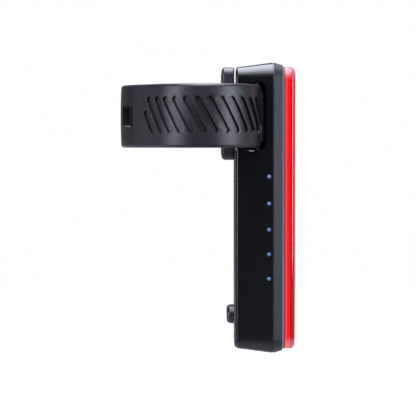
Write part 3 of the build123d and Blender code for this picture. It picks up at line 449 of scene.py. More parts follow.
# %% Boards
def coated_board(name, colour, trace, roughness):
    """Lacquer over copper: faint square traces under a clear coat."""
    finish = Finish(name, coat_weight=0.5, coat_roughness=0.2)
    inputs = {"Vector": finish.place, "Scale": 1 / (2.2 * MM)}
    cells = finish.node("ShaderNodeTexVoronoi", {"distance": "CHEBYCHEV"}, inputs, output="Distance")
    traces = cells.clipped(0.40, 0.46)
    finish.paint(finish.mix(traces, colour, trace))
    finish.feed(roughness=traces * 0.1 + finish.noise(4.0) * 0.1 + roughness)
    finish.bump(traces, 0.02)


coated_board("board_resin", (0.006, 0.075, 0.030), (0.015, 0.14, 0.055), 0.3)
coated_board("board_metal", (0.72, 0.72, 0.70), (0.62, 0.62, 0.60), 0.35)
coated_board("led_yellow", (0.80, 0.58, 0.08), (0.90, 0.78, 0.40), 0.3)
print("finishes in all:", len(finishes))

# %% [markdown]
# The frame's record names a slot for each piece, which says what it is made of. Each finish
# has a slot's name, so one loop dresses all the pieces that stay as they are.

# %% Dress the frame's pieces
slot_of = {part["node"]: part["material_slot"] for part in frame["record"]["subparts"]}
for node_name, node_object in frame["nodes"].items():
    node_object.data.materials.clear()
    node_object.data.materials.append(finishes[slot_of[node_name]])
print("nodes dressed:", len(slot_of))

# %% [markdown]
# New pieces are begun in a bmesh, which is Blender's editable mesh in Python. Some cuts, such
# as the slots of the strap, are easiest as a Boolean: a cutter of the hole's shape is taken
# away and the modifier's result kept. A finished piece gets smooth shading with its sharp
# edges kept, and weighted normals, which keep a wide flat face flat beside a small round.

# %% Objects
TOUCH = 0.001 * MM


def as_object(name, bm, slot=None):
    """Writes a bmesh to a new object at the origin."""
    mesh = bpy.data.meshes.new(name)
    bmesh.ops.recalc_face_normals(bm, faces=bm.faces)
    bm.to_mesh(mesh)
    bm.free()
    made = bpy.data.objects.new(name, mesh)
    bpy.context.scene.collection.objects.link(made)
    if slot:
        mesh.materials.append(finishes[slot])
    return made


def delete(made):
    """Removes an object and its mesh."""
    mesh = made.data
    bpy.data.objects.remove(made)
    bpy.data.meshes.remove(mesh)


def editable(made):
    """The object's mesh as a bmesh."""
    bm = bmesh.new()
    bm.from_mesh(made.data)
    return bm


def write_back(made, bm):
    """Puts an edited bmesh back into its object."""
    bm.to_mesh(made.data)
    bm.free()


def combine(made, cutter_bm, operation="DIFFERENCE"):
    """Cuts, adds or keeps the cutter's shape, and keeps the result as the object's mesh."""
    cutter = as_object("cutter", cutter_bm)
    modifier = made.modifiers.new("combine", "BOOLEAN")
    modifier.object = cutter
    modifier.operation = operation
    modifier.solver = "EXACT"
    graph = bpy.context.evaluated_depsgraph_get()
    result = bpy.data.meshes.new_from_object(made.evaluated_get(graph))
    made.modifiers.clear()
    old = made.data
    made.data = result
    result.name = old.name
    bpy.data.meshes.remove(old)
    delete(cutter)


def smooth(made, angle=35):
    """Smooth shading, with the edges over the angle kept sharp and wide faces kept flat."""
    made.data.shade_smooth()
    made.data.set_sharp_from_angle(angle=radians(angle))
    even = made.modifiers.new("even_normals", "WEIGHTED_NORMAL")
    even.keep_sharp = True


print("object helpers ready")

# %% [markdown]
# Most of the moulded pieces begin as a rounded rectangle that is drawn out to a prism, and the
# round ones as a bar or as a profile turned on a lathe. A cutter reaches a hundredth of a
# millimetre past a face that it opens, because a Boolean can't tell faces apart that coincide.

# %% Shapes
CLEAR = 0.01 * MM
CORNERS = ((-1, -1), (1, -1), (1, 1), (-1, 1))
SEEN_ALONG_X = ((0, 1, 0), (0, 0, 1), (1, 0, 0))
SEEN_ALONG_Y = ((1, 0, 0), (0, 0, 1), (0, 1, 0))


def bevel(bm, items, radius, steps, affect="EDGES", **more):
    """Rounds edges, or the corners of a flat face."""
    bmesh.ops.bevel(bm, geom=items, offset=radius, offset_type="OFFSET", segments=steps, profile=0.5,
                    affect=affect, material=-1, **more)


def draw_out(bm, vector):
    """Draws a flat face out to a solid."""
    grown = bmesh.ops.extrude_face_region(bm, geom=list(bm.faces))
    moved = [item for item in grown["geom"] if isinstance(item, bmesh.types.BMVert)]
    bmesh.ops.translate(bm, verts=moved, vec=vector)


def prism(centre, seen, width, height, corner, depth, steps=6):
    """A prism of a rounded rectangle. Seen gives the directions of width, height and depth."""
    bm = bmesh.new()
    across, up, along = (Vector(direction) for direction in seen)
    corners = []
    for side, rise in CORNERS:
        place = Vector(centre) + across * side * width / 2 + up * rise * height / 2 - along * depth / 2
        corners.append(bm.verts.new(place))
    bm.faces.new(corners)
    if corner:
        bevel(bm, corners, corner, steps, affect="VERTICES")
    draw_out(bm, along * depth)
    bmesh.ops.recalc_face_normals(bm, faces=bm.faces)
    return bm


def round_rim(bm, x, radius, steps):
    """Rounds the edges that lie at one place along X."""
    rim = [edge for edge in bm.edges if all(abs(vert.co.x - x) < TOUCH for vert in edge.verts)]
    bevel(bm, rim, radius, steps)


def round_bar(centre, radius, length, steps, along_x=False):
    """A round bar along Z, or along X."""
    bm = bmesh.new()
    turned = Matrix.Translation(centre)
    if along_x:
        turned = turned @ Matrix.Rotation(pi / 2, 4, "Y")
    bmesh.ops.create_cone(bm, cap_ends=True, segments=steps, radius1=radius, radius2=radius,
                          depth=length, matrix=turned)
    return bm


def lathe(points, centre, axis, steps):
    """Spins a chain of points round an axis, and closes an end that the chain leaves open."""
    bm = bmesh.new()
    verts = [bm.verts.new(point) for point in points]
    edges = [bm.edges.new(pair) for pair in zip(verts, verts[1:])]
    bmesh.ops.spin(bm, geom=verts + edges, cent=centre, axis=axis, angle=2 * pi, steps=steps, use_merge=True)
    bmesh.ops.remove_doubles(bm, verts=bm.verts, dist=TOUCH / 2)
    bmesh.ops.holes_fill(bm, edges=[edge for edge in bm.edges if edge.is_boundary], sides=0)
    bmesh.ops.recalc_face_normals(bm, faces=bm.faces)
    return bm


def slice_at(bm, place, facing, **clear):
    """Cuts the mesh along a plane, and can clear one side of it."""
    geometry = list(bm.verts) + list(bm.edges) + list(bm.faces)
    return bmesh.ops.bisect_plane(bm, geom=geometry, dist=TOUCH, plane_co=place, plane_no=facing, **clear)


print("shape helpers ready")

# %% [markdown]
# The strap is moulded flat in silicone: a long bar with rounded edges, square slots and
# slanted grip grooves. It is modelled flat too, where every cut is straight, and bent
# afterwards: each point has a distance along the flat bar, and moves to that distance along
# the loop seen from above. The loop is a chain of arcs and straight runs that starts at the
# nose and goes round each way, near to the pin in the housing's side, far along the other
# side. The radii are chosen; the straight runs follow from the pin and the strap's tip.

# %% The strap's line seen from above
strap_width = 20.0 * MM
strap_thickness = 2.4 * MM
strap_middle = strap_thickness / 2
post_radius = 16.0 * MM
far_bulge_radius = 10.8 * MM
tail_bend_radius = 8.4 * MM
tail_length = 12.5 * MM
tail_gap = 0.3 * MM
pin_to_pocket_end = 1.13 * MM
nose_turn = radians(45)
half = cos(nose_turn)

pin_low, pin_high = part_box("strap_anchor_pin")
pin_middle = (pin_low + pin_high) / 2
near_entry_x = pin_middle.x - strap_middle
near_end_y = pin_middle.y + pin_to_pocket_end
near_bulge_radius = (post_radius + (near_entry_x + near_end_y) * half) / (1 + half)
near_flank = (near_bulge_radius - post_radius) * tan(nose_turn) - near_end_y / half

tail_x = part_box("strap_tail")[1].x - tail_length
climb = housing_high.y + tail_gap - post_radius * half + tail_bend_radius * (1 - half)
reach = tail_x + (post_radius - tail_bend_radius - 2 * far_bulge_radius) * half
far_flank, far_slope = (reach + climb) * half, (reach - climb) * half
print("straight runs", [round(run / MM, 3) for run in (near_flank, far_flank, far_slope)], "mm")

# %% [markdown]
# Each run below is a radius with an angle, or no radius with a length. Walking along them
# gives the place and the heading at any distance, which is all that bending needs.

# %% Bend a point of the flat strap
nose_radius = post_radius + strap_middle
near_line = [
    (nose_radius, nose_turn),
    (None, near_flank),
    (near_bulge_radius + strap_middle, pi - nose_turn),
]
far_line = [
    (nose_radius, nose_turn),
    (None, far_flank),
    (far_bulge_radius + strap_middle, pi / 2),
    (None, far_slope),
    (tail_bend_radius - strap_middle, -nose_turn),
    (None, tail_length),
]


def run_length(run):
    """How long an arc or a straight run is."""
    radius, size = run
    return size if radius is None else radius * abs(size)


def right_of(heading):
    """The direction to the right of a heading."""
    return Vector((sin(heading), -cos(heading)))


def on_line(line, distance):
    """The place and the heading at a distance along a line, turning right for a positive angle."""
    place, heading = Vector((-nose_radius, 0)), pi / 2
    for run in line:
        radius, size = run
        step = distance if run == line[-1] else min(distance, run_length(run))
        if radius is None:
            place = place + Vector((cos(heading), sin(heading))) * step
        else:
            side = radius if size > 0 else -radius
            centre = place + right_of(heading) * side
            heading -= step / side
            place = centre - right_of(heading) * side
        distance -= step
        if distance <= 0:
            break
    return place, heading


def bent(point):
    """Where a point of the flat strap (distance, outward, height) goes on the loop."""
    side = 1 if point.x >= 0 else -1
    place, heading = on_line(far_line if side > 0 else near_line, abs(point.x))
    flat = place - right_of(heading) * point.y
    return Vector((flat.x, side * flat.y, point.z))


near_length = sum(run_length(run) for run in near_line)
far_length = sum(run_length(run) for run in far_line)
print("strap", round((near_length + far_length) / MM, 1), "mm along its middle")

# %% [markdown]
# The bar's long edges are rounded, more on the outside than against the post. Rounding the
# corners of its end face before it is drawn out is simpler than rounding long edges. Its far
# tip is a rounded rectangle in side view, made by keeping what a rounded plan holds.

# %% The flat bar
outer_round = 1.0 * MM
inner_round = 0.5 * MM
tip_corner = 3.0 * MM
through = 4 * strap_thickness

bar = bmesh.new()
profile = [bar.verts.new((-near_length, out * strap_middle, up * strap_width / 2)) for out, up in CORNERS]
bar.faces.new(profile)
for corners, radius in ((profile[1:3], outer_round), ((profile[0], profile[3]), inner_round)):
    bevel(bar, list(corners), radius, 5, affect="VERTICES")
draw_out(bar, Vector((near_length + far_length, 0, 0)))
strap = as_object("strap", bar, "strap_rubber")
combine(strap, prism((0, 0, 0), SEEN_ALONG_Y, 2 * far_length, strap_width + 2 * CLEAR, tip_corner,
                     through, steps=8), "INTERSECT")
print("bar faces", len(strap.data.polygons))

# %% [markdown]
# One slot is cut near the nose on the near half. Six more stand 8.6 mm apart along the far
# side, the last over the hook at rest. The thirteen grooves lie on the outer face only, and
# the first is cut short. Their places were measured on the outer face as the camera sees it,
# so they are brought back to the flat bar's middle, where the bulge is shorter.

# %% Slots
slot_length = 6.8 * MM
slot_height = 6.9 * MM
slot_corner = 1.0 * MM
slot_pitch = 8.6 * MM
slot_count = 6
hooked_slot_set_in = 3.59 * MM
near_slot = -radians(29.4) * nose_radius
first_slot = far_length - tail_length + hooked_slot_set_in - (slot_count - 1) * slot_pitch

for place in [near_slot] + [first_slot + count * slot_pitch for count in range(slot_count)]:
    combine(strap, prism((place, 0, 0), SEEN_ALONG_Y, slot_length, slot_height, slot_corner, through,
                         steps=3))
print("slots from", round(first_slot / MM, 2), "mm")

# %% Grooves
groove_count = 12
groove_pitch = 3.73 * MM
first_groove = -17.52 * MM
groove_width = 2.0 * MM
groove_height = 11.3 * MM
groove_slant = radians(27.8)
groove_depth = 0.9 * MM
groove_rise = 0.34 * MM
short_groove_share = 0.54

bulge_outer = near_bulge_radius + strap_thickness
bulge_share = (near_bulge_radius + strap_middle) / bulge_outer
nearest = nose_radius * nose_turn + near_flank + (near_bulge_radius + strap_middle) * nose_turn


def groove_place(along_outer):
    """The distance on the flat bar of a place measured along the outer face from the nearest point."""
    bend_start = -bulge_outer * nose_turn
    inside = max(along_outer, bend_start)
    return -(nearest + inside * bulge_share + (along_outer - inside))


slanted = ((cos(groove_slant), 0, -sin(groove_slant)), (sin(groove_slant), 0, cos(groove_slant)), (0, 1, 0))
groove_span = groove_height / cos(groove_slant) - groove_width
flat_width = groove_width * bulge_share
for count in range(-1, groove_count):
    share = short_groove_share if count < 0 else 1
    lift = Vector(slanted[1]) * (1 - share) * groove_span / 2
    centre = Vector((groove_place(first_groove + count * groove_pitch), strap_middle, groove_rise)) - lift
    combine(strap, prism(centre, slanted, flat_width, groove_span * share + groove_width,
                         flat_width / 2 - CLEAR, 2 * groove_depth, steps=5))
print("grooves", groove_count + 1, "with", len(strap.data.polygons), "faces in all")

# %% [markdown]
# A rubber maker gives the rims of holes a small round so that they don't tear, so the rim
# edges are bevelled after the cuts. A wide flat face can't bend, so the bar is then sliced
# about every millimetre, and nine times lengthwise for the slight crown of its outer face.

# %% Round the rims, slice and crown the bar
rim_round = 0.2 * MM
slice_step = 1.1 * MM
crown = 0.25 * MM
crown_cuts = 10

bm = editable(strap)
bmesh.ops.remove_doubles(bm, verts=bm.verts, dist=2 * TOUCH)
bmesh.ops.dissolve_degenerate(bm, edges=bm.edges, dist=2 * TOUCH)


def is_rim(edge):
    """Whether an edge is the sharp rim of a slot or a groove on one of the bar's faces."""
    if len(edge.link_faces) != 2 or edge.calc_face_angle(0) < radians(60):
        return False
    first, second = (vert.co for vert in edge.verts)
    middle = (first + second) / 2
    on_face = abs(abs(middle.y) - strap_middle) < 2 * CLEAR and abs(first.y - second.y) < CLEAR
    return on_face and abs(middle.z) < strap_width / 2 - outer_round


rims = [edge for edge in bm.edges if is_rim(edge)]
bevel(bm, rims, rim_round, 2, clamp_overlap=True)
slices = ceil((near_length + far_length) / slice_step)
for count in range(1, slices):
    slice_at(bm, (-near_length + count * (near_length + far_length) / slices, 0, 0), (1, 0, 0))
for count in range(1, crown_cuts):
    slice_at(bm, (0, 0, (strap_width - 2 * outer_round) * (count / crown_cuts - 0.5)), (0, 0, 1))
for vert in bm.verts:
    outward_share = (vert.co.y + strap_middle) / strap_thickness
    vert.co.y -= crown * outward_share * (vert.co.z * 2 / strap_width) ** 2
bmesh.ops.triangulate(bm, faces=[face for face in bm.faces if len(face.verts) > 4])
print("rims", len(rims), "slices", slices, "faces", len(bm.faces))
write_back(strap, bm)

# %% [markdown]
# The rubber bends in two places when it is opened: at the nose, and halfway along the row of
# slots. A mesh can blend between two bodies only, so the strap is two pieces that meet
# inside the middle body, where nothing bends. Here the pieces are only cut and baked in
# place; no blend is set up.

# %% Two pieces, cut between the hinge lines
spread_angle = radians(13.0)
spread_place = spread_angle * nose_radius
peel_place = first_slot + 2.5 * slot_pitch
cut_place = first_slot + 0.5 * slot_pitch
bend_reach = 4.5 * MM


def strap_piece(name, keep_far):
    """One side of the flat strap, closed at the cut and bent to the loop."""
    piece = editable(strap)
    cut = slice_at(piece, (cut_place, 0, 0), (1, 0, 0), clear_inner=keep_far, clear_outer=not keep_far)
    rim = [item for item in cut["geom_cut"] if isinstance(item, bmesh.types.BMEdge)]
    bmesh.ops.holes_fill(piece, edges=rim)
    for vert in piece.verts:
        vert.co = bent(vert.co)
    return as_object(name, piece, "strap_rubber")


def bend_between(piece, place):
    """Bakes the piece's transform into its mesh. The points a bend's reach either side of the place are
    worked out, but no blend is set up.
    """
    before, after = (bent(Vector((place + step, strap_middle, 0))) for step in (-bend_reach, bend_reach))
    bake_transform(piece)


strap_grooved = strap_piece("strap_grooved_half", keep_far=False)
strap_slotted = strap_piece("strap_slotted_half", keep_far=True)
delete(strap)
print("cut", round(cut_place / MM, 1), "mm past the nose")

# %% [markdown]
# The near end is thickened to an eye round the pin in the housing's pocket, as a strap's end
# is, with a little play round the pin.

# %% The strap's eye, and what the pieces replace
eye_radius = 2.2 * MM
eye_height = 16.0 * MM
eye_play = 2 * CLEAR
eye_centre = (pin_middle.x, pin_middle.y, 0)
pin_radius = (pin_high.x - pin_low.x) / 2

combine(strap_grooved, round_bar(eye_centre, eye_radius, eye_height, 32), "UNION")
combine(strap_grooved, round_bar(eye_centre, pin_radius + eye_play, 1.5 * eye_height, 32))
smooth(strap_grooved, 38)
smooth(strap_slotted, 38)
bend_between(strap_grooved, spread_place)
bend_between(strap_slotted, peel_place)
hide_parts("strap_near", "strap_mid")
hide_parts("strap_tail")
print("strap pieces", len(strap_grooved.data.polygons), len(strap_slotted.data.polygons), "faces")

# %% [markdown]
# The saddle pad is a block of soft rubber that is glued over the bracket's plate. The mould
# rounds every edge, more on the post's side than at the back. So it begins as a rounded block
# with bevelled edges, and then the post and the plate's seat are cut away.

# %% Saddle pad
plate_low, plate_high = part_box("saddle_bracket")
pad_low, pad_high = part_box("saddle_pad")
pad_size = pad_high - pad_low
pad_middle = (pad_low + pad_high) / 2
pad_corner = 2.4 * MM
post_side_round = 1.3 * MM
back_round = 0.5 * MM
plate_play = 0.1 * MM
plate_thickness = 1.0 * MM

bm = prism(pad_middle, SEEN_ALONG_X, pad_size.y, pad_size.z, pad_corner, pad_size.x)
round_rim(bm, pad_low.x, post_side_round, 6)
round_rim(bm, pad_high.x, back_round, 6)
pad = as_object("saddle_pad_rubber", bm, "soft_rubber")
combine(pad, round_bar((0, 0, 0), post_radius, 2 * pad_size.z, 160))
plate_middle = Vector((pad_high.x - plate_thickness / 2, 0, pad_middle.z))
combine(pad, prism(plate_middle, SEEN_ALONG_X, plate_high.y - plate_low.y + 2 * plate_play,
                   plate_high.z - plate_low.z + 2 * plate_play, plate_thickness,
                   plate_thickness + 2 * CLEAR))
smooth(pad)
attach(pad, "light_body")
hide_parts("saddle_pad")
print("pad", len(pad.data.polygons), "faces")

# %% [markdown]
# The lens is moulded in clear red acrylic: a shallow tray with a rounded front edge, and a
# skirt that plugs into the bezel. The tray could be a solid with its inside offset, but two
# prisms joined and a third taken away follow the way that the real mould's halves meet.

# %% Lens
lens_corner = 3.35 * MM
lens_round = 1.55 * MM
lens_wall = 1.5 * MM
skirt_depth = 1.5 * MM
skirt_overlap = 0.5 * MM
skirt_set_in = 1.1 * MM
skirt_corner = lens_corner - skirt_set_in / 2
skirt_back = bezel_front - skirt_depth
hollow_front = lens_high.x - lens_wall


def lens_prism(x_low, x_high, set_in, corner):
    """A rounded prism between two places along X, drawn in from the lens's outline."""
    centre = ((x_low + x_high) / 2, 0, lens_middle_z)
    return prism(centre, SEEN_ALONG_X, lens_width - 2 * set_in, lens_height - 2 * set_in, corner,
                 x_high - x_low, steps=8)


bm = lens_prism(bezel_front, lens_high.x, 0, lens_corner)
round_rim(bm, lens_high.x, lens_round, 10)
lens = as_object("lens_shell", bm, "red_lens")
combine(lens, lens_prism(skirt_back, bezel_front + skirt_overlap, skirt_set_in, skirt_corner), "UNION")
combine(lens, lens_prism(skirt_back - CLEAR, hollow_front, 2 * skirt_set_in,
                         skirt_corner - skirt_set_in / 2))
print("lens tray", len(lens.data.polygons), "faces")

# %% [markdown]
# Its inner face carries upright flutes, half-round ribs that spread the light of each LED
# sideways. They run the height of the flat face, and each is a bar sunk into the wall.

# %% Flutes of the lens
flute_count = 11
flute_radius = 0.55 * MM
flute_sunk = 0.2 * MM
flute_end_room = 4.5 * MM

for count in range(flute_count):
    y = (count - (flute_count - 1) / 2) * FLUTE_PITCH
    combine(lens, round_bar((hollow_front + flute_sunk, y, lens_middle_z), flute_radius,
                            lens_height - 2 * flute_end_room, 16), "UNION")
smooth(lens, 40)
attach(lens, "light_body")
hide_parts("front_lens")
print("lens", len(lens.data.polygons), "faces")

# %% [markdown]
# Every screw has a pan head with a cross recess. Head and shank are one turned profile. The
# thread isn't a stack of rings but a helix: the radius rises and falls with the height minus
# the angle's share of the pitch. The recess is two crossed slots that are cut into the head.

# %% The shape of a screw
THREAD_PITCH = 0.6 * MM
THREAD_DEPTH = 0.12 * MM
THREAD_STEPS = 24
THREAD_ROWS = 4
THREAD_START = 0.3 * MM
TIP_SHARE = 0.25
HEAD_PROFILE = ((0.55, 0.0), (0.85, 0.05), (0.96, 0.18), (1.0, 0.45), (1.0, 1.0))


def screw_rows(head_radius, head_height, shank_radius, length):
    """The screw's profile as rows of a radius, a height and how far the thread rises there."""
    core = shank_radius - THREAD_DEPTH
    start = head_height + THREAD_START
    end = head_height + length - shank_radius
    rows = [(radius * head_radius, height * head_height, 0) for radius, height in HEAD_PROFILE]
    rows.append((core, head_height, 0))
    count = max(2, round((end - start) / THREAD_PITCH * THREAD_ROWS))
    rows += [(core, start + (end - start) * step / count, THREAD_DEPTH) for step in range(count + 1)]
    rows.append((TIP_SHARE * shank_radius, head_height + length, 0))
    return rows


def screw_shape(top, axis, rows):
    """A bmesh screw with its thread, along the axis from the top of its head."""
    bm = bmesh.new()
    rings = []
    for radius, height, rise in rows:
        ring = []
        for step in range(THREAD_STEPS):
            share = step / THREAD_STEPS
            phase = (height / THREAD_PITCH - share) % 1
            ridge = radius + rise * max(0, 1 - abs(phase - 0.5) * 3)
            ring.append(bm.verts.new((ridge * cos(2 * pi * share), ridge * sin(2 * pi * share), height)))
        rings.append(ring)
    for lower, upper in zip(rings, rings[1:]):
        for step in range(THREAD_STEPS):
            after = (step + 1) % THREAD_STEPS
            bm.faces.new((lower[step], lower[after], upper[after], upper[step]))
    bm.faces.new(rings[0])
    bm.faces.new(reversed(rings[-1]))
    turn = Vector(axis).to_track_quat("Z", "Y").to_matrix().to_4x4()
    bmesh.ops.transform(bm, matrix=Matrix.Translation(top) @ turn, verts=bm.verts)
    bmesh.ops.recalc_face_normals(bm, faces=bm.faces)
    return bm


print("thread pitch", THREAD_PITCH / MM, "mm")

# %% [markdown]
# The frame keeps equal screws as one group, and so does the scene: each screw is made at its
# own place and joined to the group's mesh. The places follow from the corners of the group's
# box and the radius of a head.


# %% Screw groups
RECESS_SPAN, RECESS_WIDTH, RECESS_CORNER = 1.2, 0.24, 0.1
RECESS_DEPTH = 0.55


def screw_set(name, slot, tops, axis, head_radius, head_height, shank_radius, length):
    """All the screws of a group as one object, with a cross recess in each head."""
    group = as_object(name + "_crossed", bmesh.new(), slot)
    rows = screw_rows(head_radius, head_height, shank_radius, length)
    cross = [share * head_radius for share in (RECESS_SPAN, RECESS_WIDTH, RECESS_CORNER)]
    upright, along = Vector((0, 0, 1)), Vector(axis)
    for top in tops:
        one = as_object("one", screw_shape(Vector(top), axis, rows))
        for side in (upright, along.cross(upright)):
            combine(one, prism(top, (side, along.cross(side), along), *cross,
                               2 * RECESS_DEPTH * head_height, steps=2))
        bm = editable(group)
        bm.from_mesh(one.data)
        write_back(group, bm)
        delete(one)
    smooth(group, 30)
    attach(group, "light_body")
    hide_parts(name)
    print(name, len(tops))


case_low, case_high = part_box("case_screws")
case_head = 1.85 * MM
case_side = case_high.y - case_head
case_tops = [(housing_low.x, 0, case_high.z - case_head)]
case_tops += [(case_low.x, side * case_side, case_low.z + case_head) for side in (-1, 1)]
screw_set("case_screws", "dark_steel", case_tops, (1, 0, 0), case_head, head_height=1.3 * MM,
          shank_radius=0.95 * MM, length=11.6 * MM)

bracket_low, bracket_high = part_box("bracket_screws")
bracket_head = 1.8 * MM
bracket_tops = [(bracket_low.x, 0, z) for z in (bracket_high.z - bracket_head, bracket_low.z + bracket_head)]
screw_set("bracket_screws", "dark_steel", bracket_tops, (1, 0, 0), bracket_head, head_height=1.0 * MM,
          shank_radius=0.95 * MM, length=5.2 * MM)

board_low, board_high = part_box("board_screws")
board_head = 1.3 * MM
board_tops = [(board_high.x, 0, board_high.z - board_head)]
board_tops += [(board_high.x, y, board_low.z + board_head)
               for y in (board_low.y + board_head, board_high.y - board_head)]
screw_set("board_screws", "bright_steel", board_tops, (-1, 0, 0), board_head, head_height=0.6 * MM,
          shank_radius=0.6 * MM, length=3.6 * MM)

hook_low, hook_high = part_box("hook_screws")
hook_head = 1.6 * MM
hook_x = (hook_low.x + hook_high.x) / 2
hook_tops = [(hook_x, hook_high.y, z) for z in (hook_low.z + hook_head, hook_high.z - hook_head)]
screw_set("hook_screws", "dark_steel", hook_tops, (0, -1, 0), hook_head, head_height=0.9 * MM,
          shank_radius=0.6 * MM, length=3.3 * MM)

# %% [markdown]
# The mode button is a cap of soft rubber, pressed from outside through the back cover. Its
# flange sits behind the cover and a stem reaches the switch. The cap is a stadium with a wide
# round on its top edge, so a thumb finds it through a glove. Its corners have just under half
# its height as a radius, because two that meet would leave an edge of no length.

# %% Mode button
button_low, button_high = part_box("mode_button")
button_z = (button_low.z + button_high.z) / 2
STADIUM = 0.49
cap_round = 1.3 * MM
flange_rim = 1.1 * MM
flange_gap = 0.1 * MM
stem_sunk = 0.3 * MM
flange_thickness = 0.7 * MM
stem_radius = 1.2 * MM
overlap = 0.1 * MM
flange_width, flange_height = button_high.y - button_low.y, button_high.z - button_low.z
cap_width, cap_height = flange_width - 2 * flange_rim, flange_height - 2 * flange_rim
flange_front = housing_low.x + flange_gap
stem_start = flange_front + stem_sunk

bm = prism(((button_low.x + flange_front) / 2, 0, button_z), SEEN_ALONG_X, cap_width, cap_height,
           STADIUM * cap_height, flange_front - button_low.x, steps=10)
round_rim(bm, button_low.x, cap_round, 8)
cap = as_object("button_cap", bm, "button_rubber")
flange_middle = (flange_front + (flange_thickness - overlap) / 2, 0, button_z)
combine(cap, prism(flange_middle, SEEN_ALONG_X, flange_width, flange_height, STADIUM * flange_height,
                   flange_thickness + overlap, steps=10), "UNION")
combine(cap, round_bar(((stem_start + button_high.x) / 2, 0, button_z), stem_radius,
                       button_high.x - stem_start, 32, along_x=True), "UNION")
smooth(cap)
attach(cap, "mode_button")
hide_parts("mode_button")
print("button", len(cap.data.polygons), "faces")

# %% [markdown]
# The five dots are the ends of one clear light pipe: a bar inside the housing with five round
# pins. The mould gives each pin a domed end that stays just below the housing's surface, so
# nothing scratches it. Each pin is a profile turned round its own axis.

# %% Indicator light pipe
pipe_low, pipe_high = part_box("indicator_light_pipe")
pipe_middle = (pipe_low + pipe_high) / 2
dot_radius = 0.7 * MM
dot_recess = 0.06 * MM
dome_height = 0.45 * MM
dome_steps = 8
bar_thickness = 1.2 * MM
bar_corner = 0.3 * MM
dot_steps = (0, 8.6 * MM, 8.3 * MM, 7.8 * MM, 7.8 * MM)
end_room = (pipe_high.z - pipe_low.z - sum(dot_steps)) / 2
bar_middle_y = pipe_high.y - bar_thickness / 2

bm = prism((pipe_middle.x, bar_middle_y, pipe_middle.z), SEEN_ALONG_Y, pipe_high.x - pipe_low.x,
           pipe_high.z - pipe_low.z, bar_corner, bar_thickness, steps=3)
pipe = as_object("light_pipe", bm, "clear_pipe")
dot_top = pipe_low.y + dot_recess
quarter = [pi / 2 * count / dome_steps for count in range(dome_steps + 1)]
dome = [(dot_radius * sin(turn), dot_top + dome_height * (1 - cos(turn))) for turn in quarter]
dot_z = pipe_high.z - end_room
for step in dot_steps:
    dot_z -= step
    points = [(pipe_middle.x + radius, y, dot_z) for radius, y in dome + [(dot_radius, bar_middle_y)]]
    combine(pipe, lathe(points, (pipe_middle.x, 0, dot_z), (0, 1, 0), 32), "UNION")
smooth(pipe)
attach(pipe, "light_body")
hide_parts("indicator_light_pipe")
print("pipe", len(pipe.data.polygons), "faces")

# %% [markdown]
# The battery lies on a strip of closed-cell foam with adhesive on both faces. Between the
# battery and the housing it is squeezed flat, and its cut sides bulge. Layers across its
# thickness let the sides swell by a sine.

# %% Battery foam
foam_low, foam_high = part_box("battery_pad")
foam_size = foam_high - foam_low
foam_middle = (foam_low + foam_high) / 2
foam_corner = 1.0 * MM
foam_bulge = 0.25 * MM
foam_layers = 6

bm = prism(foam_middle, SEEN_ALONG_X, foam_size.y - 2 * foam_bulge, foam_size.z - 2 * foam_bulge,
           foam_corner, foam_size.x)
for count in range(1, foam_layers):
    slice_at(bm, (foam_low.x + foam_size.x * count / foam_layers, 0, 0), (1, 0, 0))
for vert in bm.verts:
    swell = foam_bulge * sin(pi * (vert.co.x - foam_low.x) / foam_size.x)
    vert.co.y += swell * (1 if vert.co.y > 0 else -1)
    vert.co.z += swell * (1 if vert.co.z > foam_middle.z else -1)
foam = as_object("battery_foam", bm, "foam_pad")
smooth(foam, 60)
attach(foam, "light_body")
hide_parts("battery_pad")
print("foam", len(foam.data.polygons), "faces")

# %% [markdown]
# The strap's fixed end is a loop round a pin, whose ends show above and below the strap. The
# pin is turned from steel bar and blackened; its ends are chamfered so that it goes in.

# %% Anchor pin
pin_chamfer = 0.25 * MM
pin_profile = ((0, pin_low.z), (pin_radius - pin_chamfer, pin_low.z), (pin_radius, pin_low.z + pin_chamfer),
               (pin_radius, pin_high.z - pin_chamfer), (pin_radius - pin_chamfer, pin_high.z),
               (0, pin_high.z))

points = [(pin_middle.x + radius, pin_middle.y, z) for radius, z in pin_profile]
pin = as_object("anchor_pin_blackened", lathe(points, pin_middle, (0, 0, 1), 40), "dark_steel")
smooth(pin)
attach(pin, "light_body")
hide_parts("strap_anchor_pin")
print("pin", len(pin.data.polygons), "faces")

# %% [markdown]
# The photograph's ground is white. For the camera the floor is nearly all white too, but for a
# soft shadow. For the light that it sends back it is dark towards the camera and pale under
# the object, as if a black cloth lay in front: a floor that is white everywhere would turn the
# housing's black side grey.

# %% Floor
FLOOR_DROP = 30 * MM
FLOOR_SIZE = 3.0
CLOTH_END = -0.10
PALE_START = -0.02

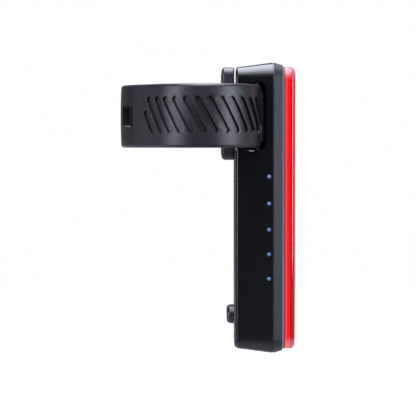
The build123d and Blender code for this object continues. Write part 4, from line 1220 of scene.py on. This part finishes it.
bm = bmesh.new()
bmesh.ops.create_grid(bm, x_segments=1, y_segments=1, size=FLOOR_SIZE,
                      matrix=Matrix.Translation((0, 0, cad_low.z - FLOOR_DROP)))
floor = bpy.data.objects.new("floor", bpy.data.meshes.new("floor"))
bpy.context.scene.collection.objects.link(floor)
write_back(floor, bm)

paper = Finish("pale_floor", roughness=0.9)
seen = paper.node("ShaderNodeLightPath", output="Is Camera Ray")
under = paper.axis("Y").clipped(CLOTH_END, PALE_START)
bounce = paper.mix(under, (0.06, 0.06, 0.06), (0.4, 0.4, 0.4))
paper.paint(paper.mix(seen, bounce, (0.85, 0.85, 0.85)))
white = paper.node("ShaderNodeEmission", None, {"Color": (1, 1, 1, 1), "Strength": 1.0})
shaded = Wire(paper, paper.shader.outputs[0])
far_off = paper.node("ShaderNodeVectorMath", {"operation": "LENGTH"}, {0: paper.place}, output="Value")
white_share = seen * (0.8 + 0.2 * far_off.clipped(0.3, 0.7))
shown = paper.node("ShaderNodeMixShader", None, {0: white_share, 1: shaded, 2: white})
paper.tree.links.new(shown.socket, paper.output.inputs["Surface"])
floor.data.materials.append(paper.material)
print("floor", FLOOR_DROP / MM, "mm under the object")

# %% [markdown]
# The surround is plain white for the camera. For the light it sends, it is bright behind the
# object and dark in front of it, which shows as a pale edge wherever a black face turns away
# from the camera.

# %% Surround
BEHIND_LIGHT = 0.3
FRONT_LIGHT = 0.01


class Surround(Finish):
    """A world's nodes, made with the same methods as a finish."""

    def __init__(self, name):
        self.world = bpy.data.worlds.new(name)
        self.world.use_nodes = True
        self.tree = self.world.node_tree
        self.tree.nodes.clear()


surround = Surround("surround")
bpy.context.scene.world = surround.world
direction = surround.node("ShaderNodeTexCoord", output="Generated")
behind = surround.node("ShaderNodeSeparateXYZ", None, {0: direction}, output="Y").clipped(0.3, 0.8)
seen = surround.node("ShaderNodeLightPath", output="Is Camera Ray")
strengths = {0: seen, 2: behind * BEHIND_LIGHT + FRONT_LIGHT, 3: 1.0}
strength = surround.node("ShaderNodeMix", {"data_type": "FLOAT"}, strengths)
background = surround.node("ShaderNodeBackground", None, {"Color": (1, 1, 1, 1), "Strength": strength})
world_output = surround.tree.nodes.new("ShaderNodeOutputWorld")
surround.tree.links.new(background.socket, world_output.inputs["Surface"])
print("surround placed")
